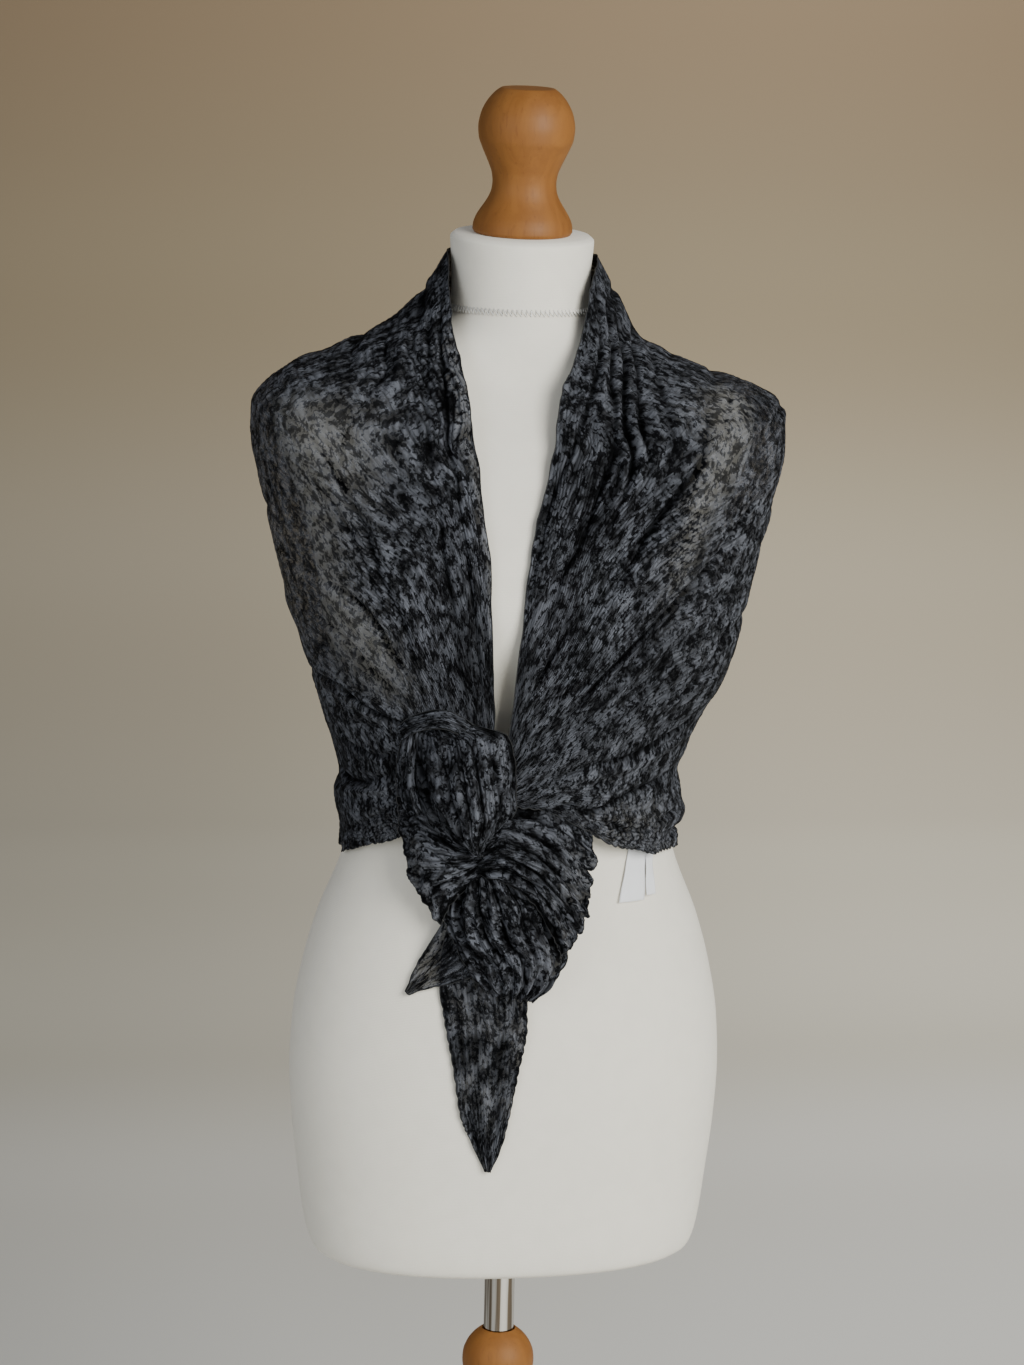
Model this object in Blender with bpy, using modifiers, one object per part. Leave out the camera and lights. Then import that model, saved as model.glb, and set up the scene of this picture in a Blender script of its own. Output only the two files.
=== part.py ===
"""Pleated shawl worn and knotted on a limbless dress form.

Units are metres and degrees, +Z up, the front of the form looks along -Y.
The form's own heights are measured up from the flat underside of its torso.
"""
import math

import bmesh
import bpy
import numpy as np

# ---------------------------------------------------------------- driving dimensions
MM = 0.001
SEAM = 0.3 * MM                 # gap kept between neighbouring pieces

FORM_AXIS_Y = 0.0675            # the upright axis, behind the middle of the whole part
LEG_REACH = 0.290               # foot tip from the column's axis
TORSO_UNDERSIDE = 0.572         # height of the torso's flat underside above the floor
COLUMN_TOP = 0.500              # top of the ball on the wooden column
COLUMN_FOOT = 0.072             # underside of the column above the floor
POLE_RADIUS = 0.0120
POLE_IN_TORSO = 0.055           # length of the pole inside the torso's socket
POLE_IN_COLUMN = 0.045
SOCKET_RADIUS = POLE_RADIUS + SEAM
SOCKET_OVERRUN = 0.010          # length of the socket's cutter below the torso
NECK_TILT = 8.0                 # slope of the neck's top, down towards the front
KNOB_GAP = 0.33 * MM            # room between the neck's top and the knob's flat underside

CLOTH = 1.2 * MM                # wall of the worn cloth
PLEAT = 0.9 * MM                # height of a pleat over the wall
STRETCH_TRIM = 0.18 * MM        # taken off each end where two stretches of the wrap meet
LABEL_WALL = 1.0 * MM
CORE_CLEARANCE = 0.8 * MM       # room between the knot's band and its hidden turns
CORE_STANDOFF = 0.7 * MM        # room between the hidden turns and the wrap's pleats
CORE_INSET = 0.17               # part of the band that the hidden turns keep clear of its rims
BAND_STEPS = 60                 # fineness at which the hidden turns read the band
CORE_ROWS = 7
CORE_COLUMNS = 9

TORSO_SIDES = 40
TURNED_SIDES = 24

# Torso sections, from the underside to the top of the neck, in millimetres.
TORSO_COLUMNS = ("height", "half_width", "front", "back", "middle_y", "square", "slope")
TORSO_SECTIONS = (
    (0.0, 144.0, 92.0, 97.0, 0.0, 2.30, 0.0),
    (4.0, 150.0, 95.5, 101.0, 0.0, 2.30, 0.0),
    (24.0, 156.3, 99.5, 106.0, 0.0, 2.25, 0.0),
    (65.0, 162.0, 103.0, 110.0, 0.0, 2.20, 0.0),
    (106.0, 166.7, 106.0, 112.5, 0.0, 2.20, 0.0),
    (147.0, 168.9, 107.0, 113.0, 0.0, 2.20, 0.0),
    (187.0, 166.9, 106.0, 111.0, 0.0, 2.20, 0.0),
    (227.0, 160.1, 103.0, 106.0, 0.0, 2.15, 0.0),
    (267.0, 149.0, 97.5, 98.5, 0.0, 2.10, 0.0),
    (307.0, 132.6, 91.5, 89.0, 0.0, 2.10, 0.0),
    (320.0, 128.3, 89.5, 86.5, 0.0, 2.10, 0.0),
    (350.0, 122.5, 87.0, 84.5, 0.0, 2.10, 0.0),
    (385.0, 124.5, 88.5, 85.0, 0.0, 2.10, 0.0),
    (420.0, 131.0, 93.0, 87.5, 0.0, 2.15, 0.0),
    (455.0, 138.5, 100.0, 92.0, 0.0, 2.20, 0.0),
    (490.0, 145.0, 112.0, 96.5, 0.0, 2.25, 0.0),
    (520.0, 150.0, 117.5, 100.5, 0.0, 2.30, 0.0),
    (550.0, 154.5, 115.5, 104.0, 1.0, 2.30, 0.0),
    (580.0, 163.0, 107.5, 105.0, 3.0, 2.35, 0.0),
    (610.0, 174.0, 96.0, 102.0, 6.0, 2.40, 0.0),
    (640.0, 185.0, 83.0, 96.0, 9.0, 2.40, 0.0),
    (662.0, 186.5, 72.0, 88.0, 11.0, 2.30, 0.0),
    (676.0, 168.0, 66.0, 81.0, 11.0, 2.15, 0.0),
    (688.0, 142.0, 61.5, 74.0, 8.0, 2.05, 0.0),
    (700.0, 107.0, 58.0, 67.0, 4.0, 2.00, 0.0),
    (712.0, 79.0, 56.0, 62.0, 1.0, 2.00, 0.02),
    (722.0, 63.0, 54.5, 58.5, -1.0, 2.00, 0.04),
    (732.0, 54.5, 53.5, 56.0, -2.0, 2.00, 0.06),
    (745.0, 52.8, 52.5, 54.0, -2.0, 2.00, 0.08),
    (768.0, 53.2, 52.5, 53.5, -3.0, 2.00, 0.11),
    (788.0, 54.5, 53.5, 54.0, -4.0, 2.00, 0.14),
    (791.5, 51.0, 50.0, 50.5, -4.0, 2.00, 0.14),
)

# Knob profile, in millimetres: radius and height over the neck's top.
KNOB_PROFILE = (
    (0.0, 108.0), (17.0, 108.0), (21.0, 106.5), (26.0, 102.5), (31.5, 96.0), (35.0, 88.0),
    (36.4, 78.0), (35.0, 68.0), (31.0, 58.5), (26.0, 50.0), (24.2, 42.0), (25.2, 33.0),
    (28.5, 24.0), (33.0, 14.0), (37.0, 6.0), (38.0, 2.5), (37.0, 0.0), (0.0, 0.0),
)

# Column profile below its ball, in millimetres: radius and height over the floor.
COLUMN_PROFILE = (
    (15.0, 498.8), (20.0, 494.6), (25.0, 488.0), (28.0, 480.0), (28.5, 474.0), (27.5, 466.0),
    (24.0, 458.5), (19.0, 452.5), (17.5, 446.0), (19.0, 438.0), (23.5, 432.0), (24.5, 427.0),
    (22.0, 421.0), (19.0, 414.0), (19.5, 400.0), (23.0, 340.0), (28.0, 265.0), (30.0, 220.0),
    (27.0, 192.0), (30.0, 180.0), (31.0, 172.0), (31.0, 100.0), (28.0, 84.0), (20.0, 74.0),
    (8.0, 72.0),
)

# Side outline of a leg (mm): distance from the column's side and height over the floor.
LEG_UPPER = ((0.0, 166.0), (30.0, 163.0), (80.0, 146.0), (130.0, 108.0), (180.0, 62.0),
             (222.0, 33.0), (259.0, 22.0))
LEG_LOWER = ((259.0, 0.0), (220.0, 0.0), (196.0, 14.0), (150.0, 56.0), (100.0, 92.0),
             (50.0, 106.0), (0.0, 108.0))
LEG_THICKNESS = 0.026
COLUMN_RADIUS_AT_LEGS = 0.031
LEG_EDGE = 2.5 * MM

# Worn cloth: sections of the wrap's outer side, from the neckline down to the hem (mm).
WRAP_COLUMNS = ("share", "left", "right", "front", "back", "square",
                "z_front", "z_left", "z_right", "z_back", "middle_y")
WRAP_SECTIONS = (
    (0.000, 58.5, 59.0, 60.0, 60.0, 2.00, 745.0, 778.0, 778.0, 786.0, -3.0),
    (0.070, 74.0, 74.5, 66.5, 70.0, 2.00, 722.0, 750.0, 748.0, 752.0, 0.0),
    (0.120, 95.0, 96.0, 72.5, 80.0, 2.00, 704.0, 727.0, 712.5, 728.0, 3.0),
    (0.200, 138.0, 138.0, 82.0, 93.0, 2.10, 678.0, 705.0, 695.5, 700.0, 6.0),
    (0.290, 188.5, 191.0, 93.0, 104.0, 2.30, 650.0, 680.0, 677.0, 668.0, 8.0),
    (0.340, 202.5, 208.5, 100.0, 109.0, 2.50, 628.0, 660.0, 660.0, 644.0, 8.0),
    (0.400, 201.5, 207.5, 108.0, 112.0, 2.50, 600.0, 630.0, 630.0, 612.0, 6.0),
    (0.470, 194.0, 198.0, 117.0, 113.0, 2.45, 573.0, 592.0, 592.0, 580.0, 4.0),
    (0.550, 184.0, 188.0, 122.0, 112.0, 2.40, 545.0, 550.0, 550.0, 545.0, 2.0),
    (0.630, 172.5, 179.0, 123.0, 110.0, 2.35, 510.0, 508.0, 508.0, 508.0, 1.0),
    (0.700, 162.5, 170.5, 122.5, 105.0, 2.30, 478.0, 473.0, 473.0, 473.0, 0.0),
    (0.760, 153.0, 161.0, 121.0, 101.0, 2.20, 450.0, 447.0, 447.0, 446.0, 0.0),
    (0.810, 146.0, 146.5, 119.0, 97.5, 2.15, 426.5, 423.0, 423.0, 423.0, 0.0),
    (0.850, 138.0, 138.8, 116.0, 94.5, 2.10, 404.0, 400.0, 400.0, 400.0, 0.0),
    (0.885, 132.8, 133.6, 113.0, 92.0, 2.10, 384.0, 378.0, 378.0, 378.0, 0.0),
    (0.915, 134.4, 136.6, 112.0, 91.5, 2.10, 369.0, 362.0, 362.0, 362.0, 0.0),
    (0.955, 131.8, 135.0, 110.0, 91.0, 2.10, 351.0, 338.0, 338.0, 338.0, 0.0),
    (1.000, 131.6, 133.6, 107.5, 92.0, 2.10, 336.0, 316.0, 316.0, 317.0, 0.0),
)

# Lines across the shawl, each from the neckline edge to the hem, on one side of the front.
# along runs from the knot (0) to the middle of the back (1); angles turn from the front.
LINE_COLUMNS = ("along", "neck_angle", "neck_share", "hem_angle", "hem_share")
LEFT_LINES = (
    (0.00, 11.0, 0.820, 30.0, 0.930),
    (0.08, 10.0, 0.750, 36.0, 0.945),
    (0.18, 9.0, 0.650, 43.0, 0.962),
    (0.30, 8.0, 0.500, 52.0, 0.975),
    (0.42, 8.0, 0.370, 63.0, 0.984),
    (0.52, 13.0, 0.270, 76.0, 0.990),
    (0.60, 26.0, 0.165, 90.0, 1.000),
    (0.68, 44.0, 0.095, 106.0, 1.000),
    (0.76, 60.0, 0.050, 122.0, 1.000),
    (0.84, 86.0, 0.005, 139.0, 1.000),
    (0.92, 132.0, 0.000, 158.0, 1.000),
    (1.00, 180.0, 0.000, 180.0, 1.000),
)
RIGHT_LINES = (
    (0.00, -7.0, 0.820, -5.5, 0.914),
    (0.08, -5.0, 0.755, 3.0, 0.920),
    (0.18, -3.0, 0.665, 12.0, 0.938),
    (0.30, -1.0, 0.525, 24.0, 0.968),
    (0.42, 1.0, 0.375, 38.0, 0.982),
    (0.52, 6.0, 0.230, 55.0, 0.990),
    (0.60, 16.0, 0.145, 74.0, 0.995),
    (0.68, 35.0, 0.065, 95.0, 1.000),
    (0.76, 55.0, 0.028, 115.0, 1.000),
    (0.84, 88.0, 0.004, 136.0, 1.000),
    (0.92, 132.0, 0.000, 158.0, 1.000),
    (1.00, 180.0, 0.000, 180.0, 1.000),
)
BACK_SEAM = 0.73                # along: where the front stretches meet the back one
PLEATS_ACROSS = 22              # pleats from the neckline to the hem
FRONT_STEPS = 11                # lines along each front stretch
BACK_STEPS = 6                  # lines along each half of the back

# Large folds of the wrap: height over the cloth (mm, less than 0 for a trough),
# place and half width across (0 neckline, 1 hem), and the stretch along that they run.
FOLD_COLUMNS = ("side", "across", "width", "height", "start", "end")
FOLDS = (
    ("left", 0.04, 0.030, 1.8, 0.05, 0.75),
    ("left", 0.22, 0.045, -2.2, 0.20, 0.72),
    ("left", 0.40, 0.050, 2.2, 0.18, 0.66),
    ("left", 0.62, 0.050, -2.0, 0.12, 0.60),
    ("left", 0.90, 0.045, 2.2, 0.20, 0.98),
    ("right", 0.05, 0.030, 2.0, 0.05, 0.75),
    ("right", 0.13, 0.025, -2.6, 0.30, 0.78),
    ("right", 0.20, 0.030, 3.0, 0.28, 0.80),
    ("right", 0.29, 0.030, -3.0, 0.22, 0.80),
    ("right", 0.38, 0.040, 2.6, 0.20, 0.78),
    ("right", 0.56, 0.045, -2.2, 0.10, 0.62),
    ("right", 0.70, 0.045, 2.6, 0.08, 0.60),
    ("right", 0.92, 0.040, 2.2, 0.25, 0.98),
)

# Pieces gathered at the knot (mm). Each row is a line across the pleats, from the
# gathered root to the free edge. Lift is the distance in front of the wrap or the torso,
# bulge stands forward between the ends of the row, and bow swells along the pleats.
ROW_COLUMNS = ("x_left", "z_left", "x_right", "z_right", "lift_left", "lift_right", "bulge", "bow")
KNOT_BAND = (
    (-77.4, 428.8, -50.7, 434.7, 2.4, 2.4, 5.0, 0.0),
    (-84.2, 420.7, -36.0, 427.5, 3.2, 2.6, 16.0, 0.0),
    (-84.9, 399.9, -22.4, 412.5, 5.0, 3.0, 24.0, 0.0),
    (-82.3, 377.2, -17.1, 391.1, 6.0, 3.0, 27.0, 0.0),
    (-74.4, 360.5, -16.7, 373.7, 7.0, 4.0, 25.0, 0.0),
    (-61.5, 346.4, -25.5, 356.6, 9.0, 7.0, 16.0, 0.0),
    (-48.9, 338.6, -37.5, 342.1, 13.0, 13.0, 4.0, 0.0),
)
KNOT_STRAND = (
    (-93.0, 420.0, -85.2, 424.4, 3.5, 3.4, 3.0, 0.0),
    (-98.4, 403.6, -87.6, 409.5, 3.4, 3.0, 7.0, 0.0),
    (-99.4, 386.1, -86.7, 389.1, 3.7, 2.8, 8.0, 0.0),
    (-97.2, 370.6, -85.4, 374.1, 4.2, 3.2, 7.0, 0.0),
    (-90.2, 359.6, -79.9, 365.2, 5.8, 5.2, 3.0, 0.0),
)
KNOT_LOBE = (
    (-47.4, 333.4, -41.4, 323.7, 13.5, 13.0, 3.0, 0.0),
    (-60.1, 340.7, -46.8, 309.7, 11.0, 12.0, 10.0, 2.2),
    (-74.3, 350.1, -55.1, 296.2, 9.0, 11.0, 16.0, 4.4),
    (-88.2, 357.6, -62.0, 285.7, 7.0, 10.0, 14.0, 6.7),
    (-97.2, 362.5, -67.4, 279.7, 6.0, 9.0, 6.0, 8.9),
)
FAN_SIDE = (
    (-35.3, 342.8, -34.6, 330.2, 14.0, 14.5, 3.0, 0.0),
    (-22.1, 359.6, -21.4, 318.5, 10.5, 15.0, 8.0, 1.5),
    (-4.3, 365.5, -4.1, 298.3, 9.0, 16.0, 12.0, 3.0),
    (15.4, 364.3, 10.1, 273.1, 8.0, 16.0, 12.0, 5.9),
    (34.4, 357.3, 22.2, 257.7, 7.0, 14.0, 7.0, 12.6),
)
FAN_LOWER = (
    (-42.3, 320.7, -32.4, 322.8, 10.0, 11.0, 2.0, 0.0),
    (-49.7, 305.5, -17.9, 309.7, 8.5, 9.5, 8.0, 0.0),
    (-54.3, 285.3, -2.5, 292.7, 8.0, 9.0, 11.0, 0.0),
    (-54.0, 264.7, 11.7, 273.2, 8.0, 8.0, 12.0, 0.0),
    (-48.0, 247.5, 20.5, 253.8, 8.0, 8.0, 10.0, 1.5),
    (-36.1, 232.7, 11.7, 232.7, 8.0, 8.0, 6.0, 5.9),
)
TAIL_CORNER = (
    (-66.1, 277.2, -58.5, 264.0, 5.1, 6.1, 0.6, 0.0),
    (-70.9, 266.0, -62.5, 251.5, 4.7, 5.9, 1.0, 0.0),
    (-77.7, 252.3, -67.7, 236.5, 3.7, 4.3, 2.0, 0.0),
    (-84.9, 238.2, -77.0, 229.2, 3.4, 3.6, 1.5, 0.0),
    (-91.4, 228.1, -88.6, 224.6, 3.0, 3.0, 0.2, 0.0),
)
TAIL_LONG = (
    (-56.3, 294.5, -23.6, 295.8, 4.7, 5.7, 1.6, 0.0),
    (-63.6, 259.6, -7.9, 261.2, 3.0, 3.2, 1.4, 0.0),
    (-65.3, 231.1, -2.1, 230.5, 2.8, 3.0, 1.8, 0.0),
    (-61.7, 206.5, -0.8, 202.8, 2.6, 2.8, 1.8, 0.0),
    (-55.1, 171.8, -5.5, 172.8, 2.4, 2.6, 1.7, 0.0),
    (-48.3, 131.7, -11.0, 142.6, 2.0, 2.1, 1.4, 0.0),
    (-39.7, 112.2, -18.6, 106.9, 1.5, 1.5, 1.4, 0.0),
    (-29.6, 90.4, -25.5, 89.7, 1.4, 1.4, 0.3, 0.0),
)

# How each gathered piece is made: lines from root to edge, pleats, and how much its
# pleats deepen towards the free edge.
GATHERED_COLUMNS = ("node", "rows", "steps", "pleats", "ruffle")
GATHERED = (
    ("knot_band", KNOT_BAND, 10, 9, 0.0),
    ("knot_strand", KNOT_STRAND, 6, 3, 0.0),
    ("knot_lobe", KNOT_LOBE, 6, 8, 0.0),
    ("fan_side", FAN_SIDE, 6, 10, 0.8),
    ("fan_lower", FAN_LOWER, 7, 10, 0.6),
    ("tail_corner", TAIL_CORNER, 4, 3, 0.0),
    ("tail_long", TAIL_LONG, 10, 8, 0.2),
)

# Sewn-in tapes under the hem: angle round the form, width, top and bottom height, lift (mm).
LABEL_COLUMNS = ("node", "angle", "width", "top", "bottom", "lift")
LABELS = (
    ("label_care", 37.0, 22.0, 331.0, 290.0, 0.65),
    ("label_small", 46.5, 9.0, 329.0, 293.0, 0.65),
)
LABEL_ARC_RADIUS = 118.0        # radius of the form where the tapes hang (mm)
LABEL_STEPS = 4

# Material colours: red, green, blue, roughness, metallic.
MATERIALS = {
    "cloth": (0.055, 0.060, 0.072, 0.85, 0.0),
    "jersey": (0.82, 0.79, 0.73, 0.90, 0.0),
    "beech": (0.62, 0.36, 0.15, 0.40, 0.0),
    "steel": (0.62, 0.60, 0.58, 0.25, 1.0),
    "satin_tape": (0.86, 0.85, 0.84, 0.55, 0.0),
}


# ---------------------------------------------------------------- scene helpers
def clear_scene():
    for item in list(bpy.data.objects):
        bpy.data.objects.remove(item, do_unlink=True)


def new_collection(name):
    group = bpy.data.collections.new(name)
    bpy.context.scene.collection.children.link(group)
    return group


def new_empty(name, group, location=(0.0, 0.0, 0.0), tilt=0.0, parent=None):
    empty = bpy.data.objects.new(name, None)
    empty.location = location
    empty.rotation_euler = (math.radians(tilt), 0.0, 0.0)
    empty.parent = parent
    group.objects.link(empty)
    return empty


def new_material(name):
    red, green, blue, roughness, metallic = MATERIALS[name]
    material = bpy.data.materials.new(name)
    material.use_nodes = True
    shader = material.node_tree.nodes["Principled BSDF"]
    shader.inputs["Base Color"].default_value = (red, green, blue, 1.0)
    shader.inputs["Roughness"].default_value = roughness
    shader.inputs["Metallic"].default_value = metallic
    return material


def object_from_mesh(name, mesh, group, parent, material_name, sharp_angle=None):
    mesh.materials.append(new_material(material_name))
    mesh.shade_smooth()
    if sharp_angle is not None:
        mesh.set_sharp_from_angle(angle=math.radians(sharp_angle))
    item = bpy.data.objects.new(name, mesh)
    item.parent = parent
    group.objects.link(item)
    return item


def mesh_from_faces(name, points, faces):
    mesh = bpy.data.meshes.new(name)
    mesh.from_pydata([tuple(map(float, point)) for point in points], [], faces)
    work = bmesh.new()
    work.from_mesh(mesh)
    bmesh.ops.recalc_face_normals(work, faces=work.faces)
    work.to_mesh(mesh)
    work.free()
    return mesh


# ---------------------------------------------------------------- tables
def smooth_table(stations, values, at):
    """Read columns of a table at any station, with no overshoot between its rows."""
    stations = np.asarray(stations, dtype=float)
    values = np.asarray(values, dtype=float)
    at = np.clip(np.asarray(at, dtype=float), stations[0], stations[-1])
    steps = np.diff(stations)
    slopes = np.diff(values, axis=0) / steps[:, None]
    tangents = np.zeros_like(values)
    tangents[0] = slopes[0]
    tangents[-1] = slopes[-1]
    before, after = slopes[:-1], slopes[1:]
    same_way = before * after > 0.0
    total = np.where(same_way, before + after, 1.0)
    tangents[1:-1] = np.where(same_way, 2.0 * before * after / total, 0.0)
    row = np.clip(np.searchsorted(stations, at, side="right") - 1, 0, len(steps) - 1)
    width = steps[row][..., None]
    part = ((at - stations[row]) / steps[row])[..., None]
    start = (2.0 * part ** 3 - 3.0 * part ** 2 + 1.0) * values[row]
    start_slope = (part ** 3 - 2.0 * part ** 2 + part) * width * tangents[row]
    end = (3.0 * part ** 2 - 2.0 * part ** 3) * values[row + 1]
    end_slope = (part ** 3 - part ** 2) * width * tangents[row + 1]
    return start + start_slope + end + end_slope


def read_columns(names, rows, at):
    """Columns of a table by name, at stations of its first column."""
    rows = np.asarray(rows, dtype=float)
    values = smooth_table(rows[:, 0], rows[:, 1:], at)
    return {name: values[..., place] for place, name in enumerate(names[1:])}


# ---------------------------------------------------------------- torso
def torso_ring(height, angles):
    """Points of the torso's skin at one height (mm), in metres."""
    row = read_columns(TORSO_COLUMNS, TORSO_SECTIONS, height)
    power = 2.0 / row["square"]
    across = np.sin(angles)
    ahead = np.cos(angles)
    depth = np.where(ahead > 0.0, -row["front"], row["back"])
    x = row["half_width"] * np.sign(across) * np.abs(across) ** power
    y = depth * np.abs(ahead) ** power + row["middle_y"]
    z = height + row["slope"] * y
    return np.stack([x, y, z], axis=-1) * MM


def close_rings(name, rings):
    """Closed body through rings of points, with flat ends."""
    count = len(rings[0])
    points = [point for ring in rings for point in ring]
    faces = [tuple(range(count))]
    for level in range(len(rings) - 1):
        for side in range(count):
            after = (side + 1) % count
            low, high = level * count, (level + 1) * count
            faces.append((low + side, low + after, high + after, high + side))
    top = (len(rings) - 1) * count
    faces.append(tuple(top + side for side in range(count)))
    return mesh_from_faces(name, points, faces)


def make_torso(group, cutters, seat):
    angles = np.radians(np.arange(TORSO_SIDES) * 360.0 / TORSO_SIDES)
    rings = [torso_ring(np.full(TORSO_SIDES, row[0]), angles) for row in TORSO_SECTIONS]
    mesh = close_rings("form_torso", rings)
    torso = object_from_mesh("form_torso", mesh, group, seat, "jersey", sharp_angle=60.0)
    cut_socket(torso, cutters, seat)
    return torso


def cut_socket(torso, cutters, seat):
    """Socket for the pole in the torso's underside."""
    work = bmesh.new()
    bmesh.ops.create_cone(work, cap_ends=True, segments=TURNED_SIDES, radius1=SOCKET_RADIUS,
                          radius2=SOCKET_RADIUS, depth=POLE_IN_TORSO + SOCKET_OVERRUN + SEAM)
    mesh = bpy.data.meshes.new("socket_cutter")
    work.to_mesh(mesh)
    work.free()
    cutter = bpy.data.objects.new("socket_cutter", mesh)
    cutter.parent = seat
    cutter.location = (0.0, 0.0, (POLE_IN_TORSO + SEAM - SOCKET_OVERRUN) / 2.0)
    cutter.hide_render = True
    cutter.display_type = "WIRE"
    cutters.objects.link(cutter)
    cut = torso.modifiers.new("socket", "BOOLEAN")
    cut.operation = "DIFFERENCE"
    cut.solver = "EXACT"
    cut.object = cutter


# ---------------------------------------------------------------- turned and steel pieces
def turned_piece(name, profile, group, parent, material_name):
    """Solid of revolution from a profile that runs from the axis down its outer side."""
    mesh = bpy.data.meshes.new(name)
    points = [(radius, 0.0, height) for radius, height in profile]
    mesh.from_pydata(points, [(i, i + 1) for i in range(len(points) - 1)], [])
    item = object_from_mesh(name, mesh, group, parent, material_name)
    turn = item.modifiers.new("turn", "SCREW")
    turn.axis = "Z"
    turn.angle = math.radians(360.0)
    turn.steps = TURNED_SIDES
    turn.render_steps = TURNED_SIDES
    turn.use_merge_vertices = True
    turn.merge_threshold = 0.00001
    return item


def make_knob(group, neck):
    profile = [(radius * MM, height * MM) for radius, height in KNOB_PROFILE]
    return turned_piece("form_knob", profile, group, neck, "beech")


def make_pole(group, root):
    low = COLUMN_TOP - POLE_IN_COLUMN + SEAM
    high = TORSO_UNDERSIDE + POLE_IN_TORSO
    chamfer = 1.0 * MM
    profile = ((0.0, high), (POLE_RADIUS - chamfer, high), (POLE_RADIUS, high - chamfer),
               (POLE_RADIUS, low + chamfer), (POLE_RADIUS - chamfer, low), (0.0, low))
    return turned_piece("form_pole", profile, group, root, "steel")


def make_column(group, root):
    rim = 2.0 * MM
    well = COLUMN_TOP - POLE_IN_COLUMN
    profile = [(0.0, well), (SOCKET_RADIUS, well), (SOCKET_RADIUS, COLUMN_TOP - rim),
               (SOCKET_RADIUS + rim / 2.0, COLUMN_TOP)]
    profile += [(radius * MM, height * MM) for radius, height in COLUMN_PROFILE]
    profile.append((0.0, COLUMN_FOOT))
    return turned_piece("stand_column", profile, group, root, "beech")


def make_leg(name, group, root, heading):
    """Curved leg, flat sided, standing on a flat foot."""
    inset = COLUMN_RADIUS_AT_LEGS + SEAM
    sides = LEG_UPPER + LEG_LOWER
    stretch = (LEG_REACH - inset) / max(reach for reach, height in sides)
    outline = [(inset + reach * stretch, 0.0, height * MM) for reach, height in sides]
    mesh = bpy.data.meshes.new(name)
    mesh.from_pydata(outline, [], [tuple(range(len(outline)))])
    leg = object_from_mesh(name, mesh, group, root, "beech", sharp_angle=40.0)
    leg.rotation_euler = (0.0, 0.0, math.radians(heading))
    plank = leg.modifiers.new("plank", "SOLIDIFY")
    plank.thickness = LEG_THICKNESS
    plank.offset = 0.0
    edge = leg.modifiers.new("edge", "BEVEL")
    edge.width = LEG_EDGE
    edge.segments = 1
    edge.limit_method = "ANGLE"
    edge.angle_limit = math.radians(50.0)
    return leg


# ---------------------------------------------------------------- cloth walls
def surface_normals(grid):
    """Unit normals of a grid of points, turned to the side away from the form."""
    along = np.gradient(grid, axis=0)
    across = np.gradient(grid, axis=1)
    normals = np.cross(along, across)
    length = np.linalg.norm(normals, axis=-1, keepdims=True)
    normals = normals / np.maximum(length, 1e-12)
    outwards = grid * np.array([1.0, 1.0, 0.0])
    facing = np.sign(np.sum(np.sum(normals * outwards, axis=-1)))
    return normals * facing


def closed_between(name, outer, inner):
    """Closed body between two grids of points of the same size."""
    rows, columns = outer.shape[:2]
    points = np.concatenate([outer.reshape(-1, 3), inner.reshape(-1, 3)])
    back = rows * columns

    def place(row, column):
        return row * columns + column

    faces = []
    for row in range(rows - 1):
        for column in range(columns - 1):
            quad = (place(row, column), place(row + 1, column),
                    place(row + 1, column + 1), place(row, column + 1))
            faces.append(quad)
            faces.append(tuple(back + corner for corner in reversed(quad)))
    for row in range(rows - 1):
        for column in (0, columns - 1):
            low, high = place(row, column), place(row + 1, column)
            faces.append((low, high, back + high, back + low))
    for column in range(columns - 1):
        for row in (0, rows - 1):
            low, high = place(row, column), place(row, column + 1)
            faces.append((low, high, back + high, back + low))
    return mesh_from_faces(name, points, faces)


def cloth_wall(name, grid, normals, relief, group, seat, material_name="cloth", wall=CLOTH):
    """Closed wall of cloth: its outer points carry the relief, its inner side is plain."""
    mesh = closed_between(name, grid + normals * relief[..., None], grid - normals * wall)
    return object_from_mesh(name, mesh, group, seat, material_name)


def pleat_relief(rows, pleats, height=PLEAT):
    """Ridge and valley by turns across the wall, with plain edges."""
    ridge = np.zeros(2 * pleats + 1)
    ridge[1::2] = height
    return np.tile(ridge, (rows, 1))


# ---------------------------------------------------------------- the wrap
def wrap_point(angle, share):
    """A point of the worn cloth: angle from the front in degrees (left is less than 0)."""
    row = read_columns(WRAP_COLUMNS, WRAP_SECTIONS, share)
    turn = np.radians(angle)
    across = np.sin(turn)
    ahead = np.cos(turn)
    power = 2.0 / row["square"]
    half = np.where(across < 0.0, row["left"], row["right"])
    depth = np.where(ahead > 0.0, -row["front"], row["back"])
    x = half * np.sign(across) * np.abs(across) ** power
    y = depth * np.abs(ahead) ** power + row["middle_y"]
    side = np.where(across < 0.0, row["z_left"], row["z_right"])
    z = (side + (row["z_front"] - side) * np.clip(ahead, 0.0, 1.0) ** 2
         + (row["z_back"] - side) * np.clip(-ahead, 0.0, 1.0) ** 2)
    return np.stack([x, y, z], axis=-1) * MM


def fold_relief(side, along, across):
    """Height of the large folds at places along and across the shawl."""
    total = np.zeros(np.broadcast(along, across).shape)
    for fold in FOLDS:
        row = dict(zip(FOLD_COLUMNS, fold))
        if row["side"] != side:
            continue
        middle = (row["start"] + row["end"]) / 2.0
        reach = (row["end"] - row["start"]) / 2.0
        run = np.clip(1.0 - np.abs(along - middle) / reach, 0.0, 1.0)
        run = np.sin(run * math.pi / 2.0) ** 2
        total += row["height"] * MM * run * np.exp(-((across - row["across"]) / row["width"]) ** 2)
    return total


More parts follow.
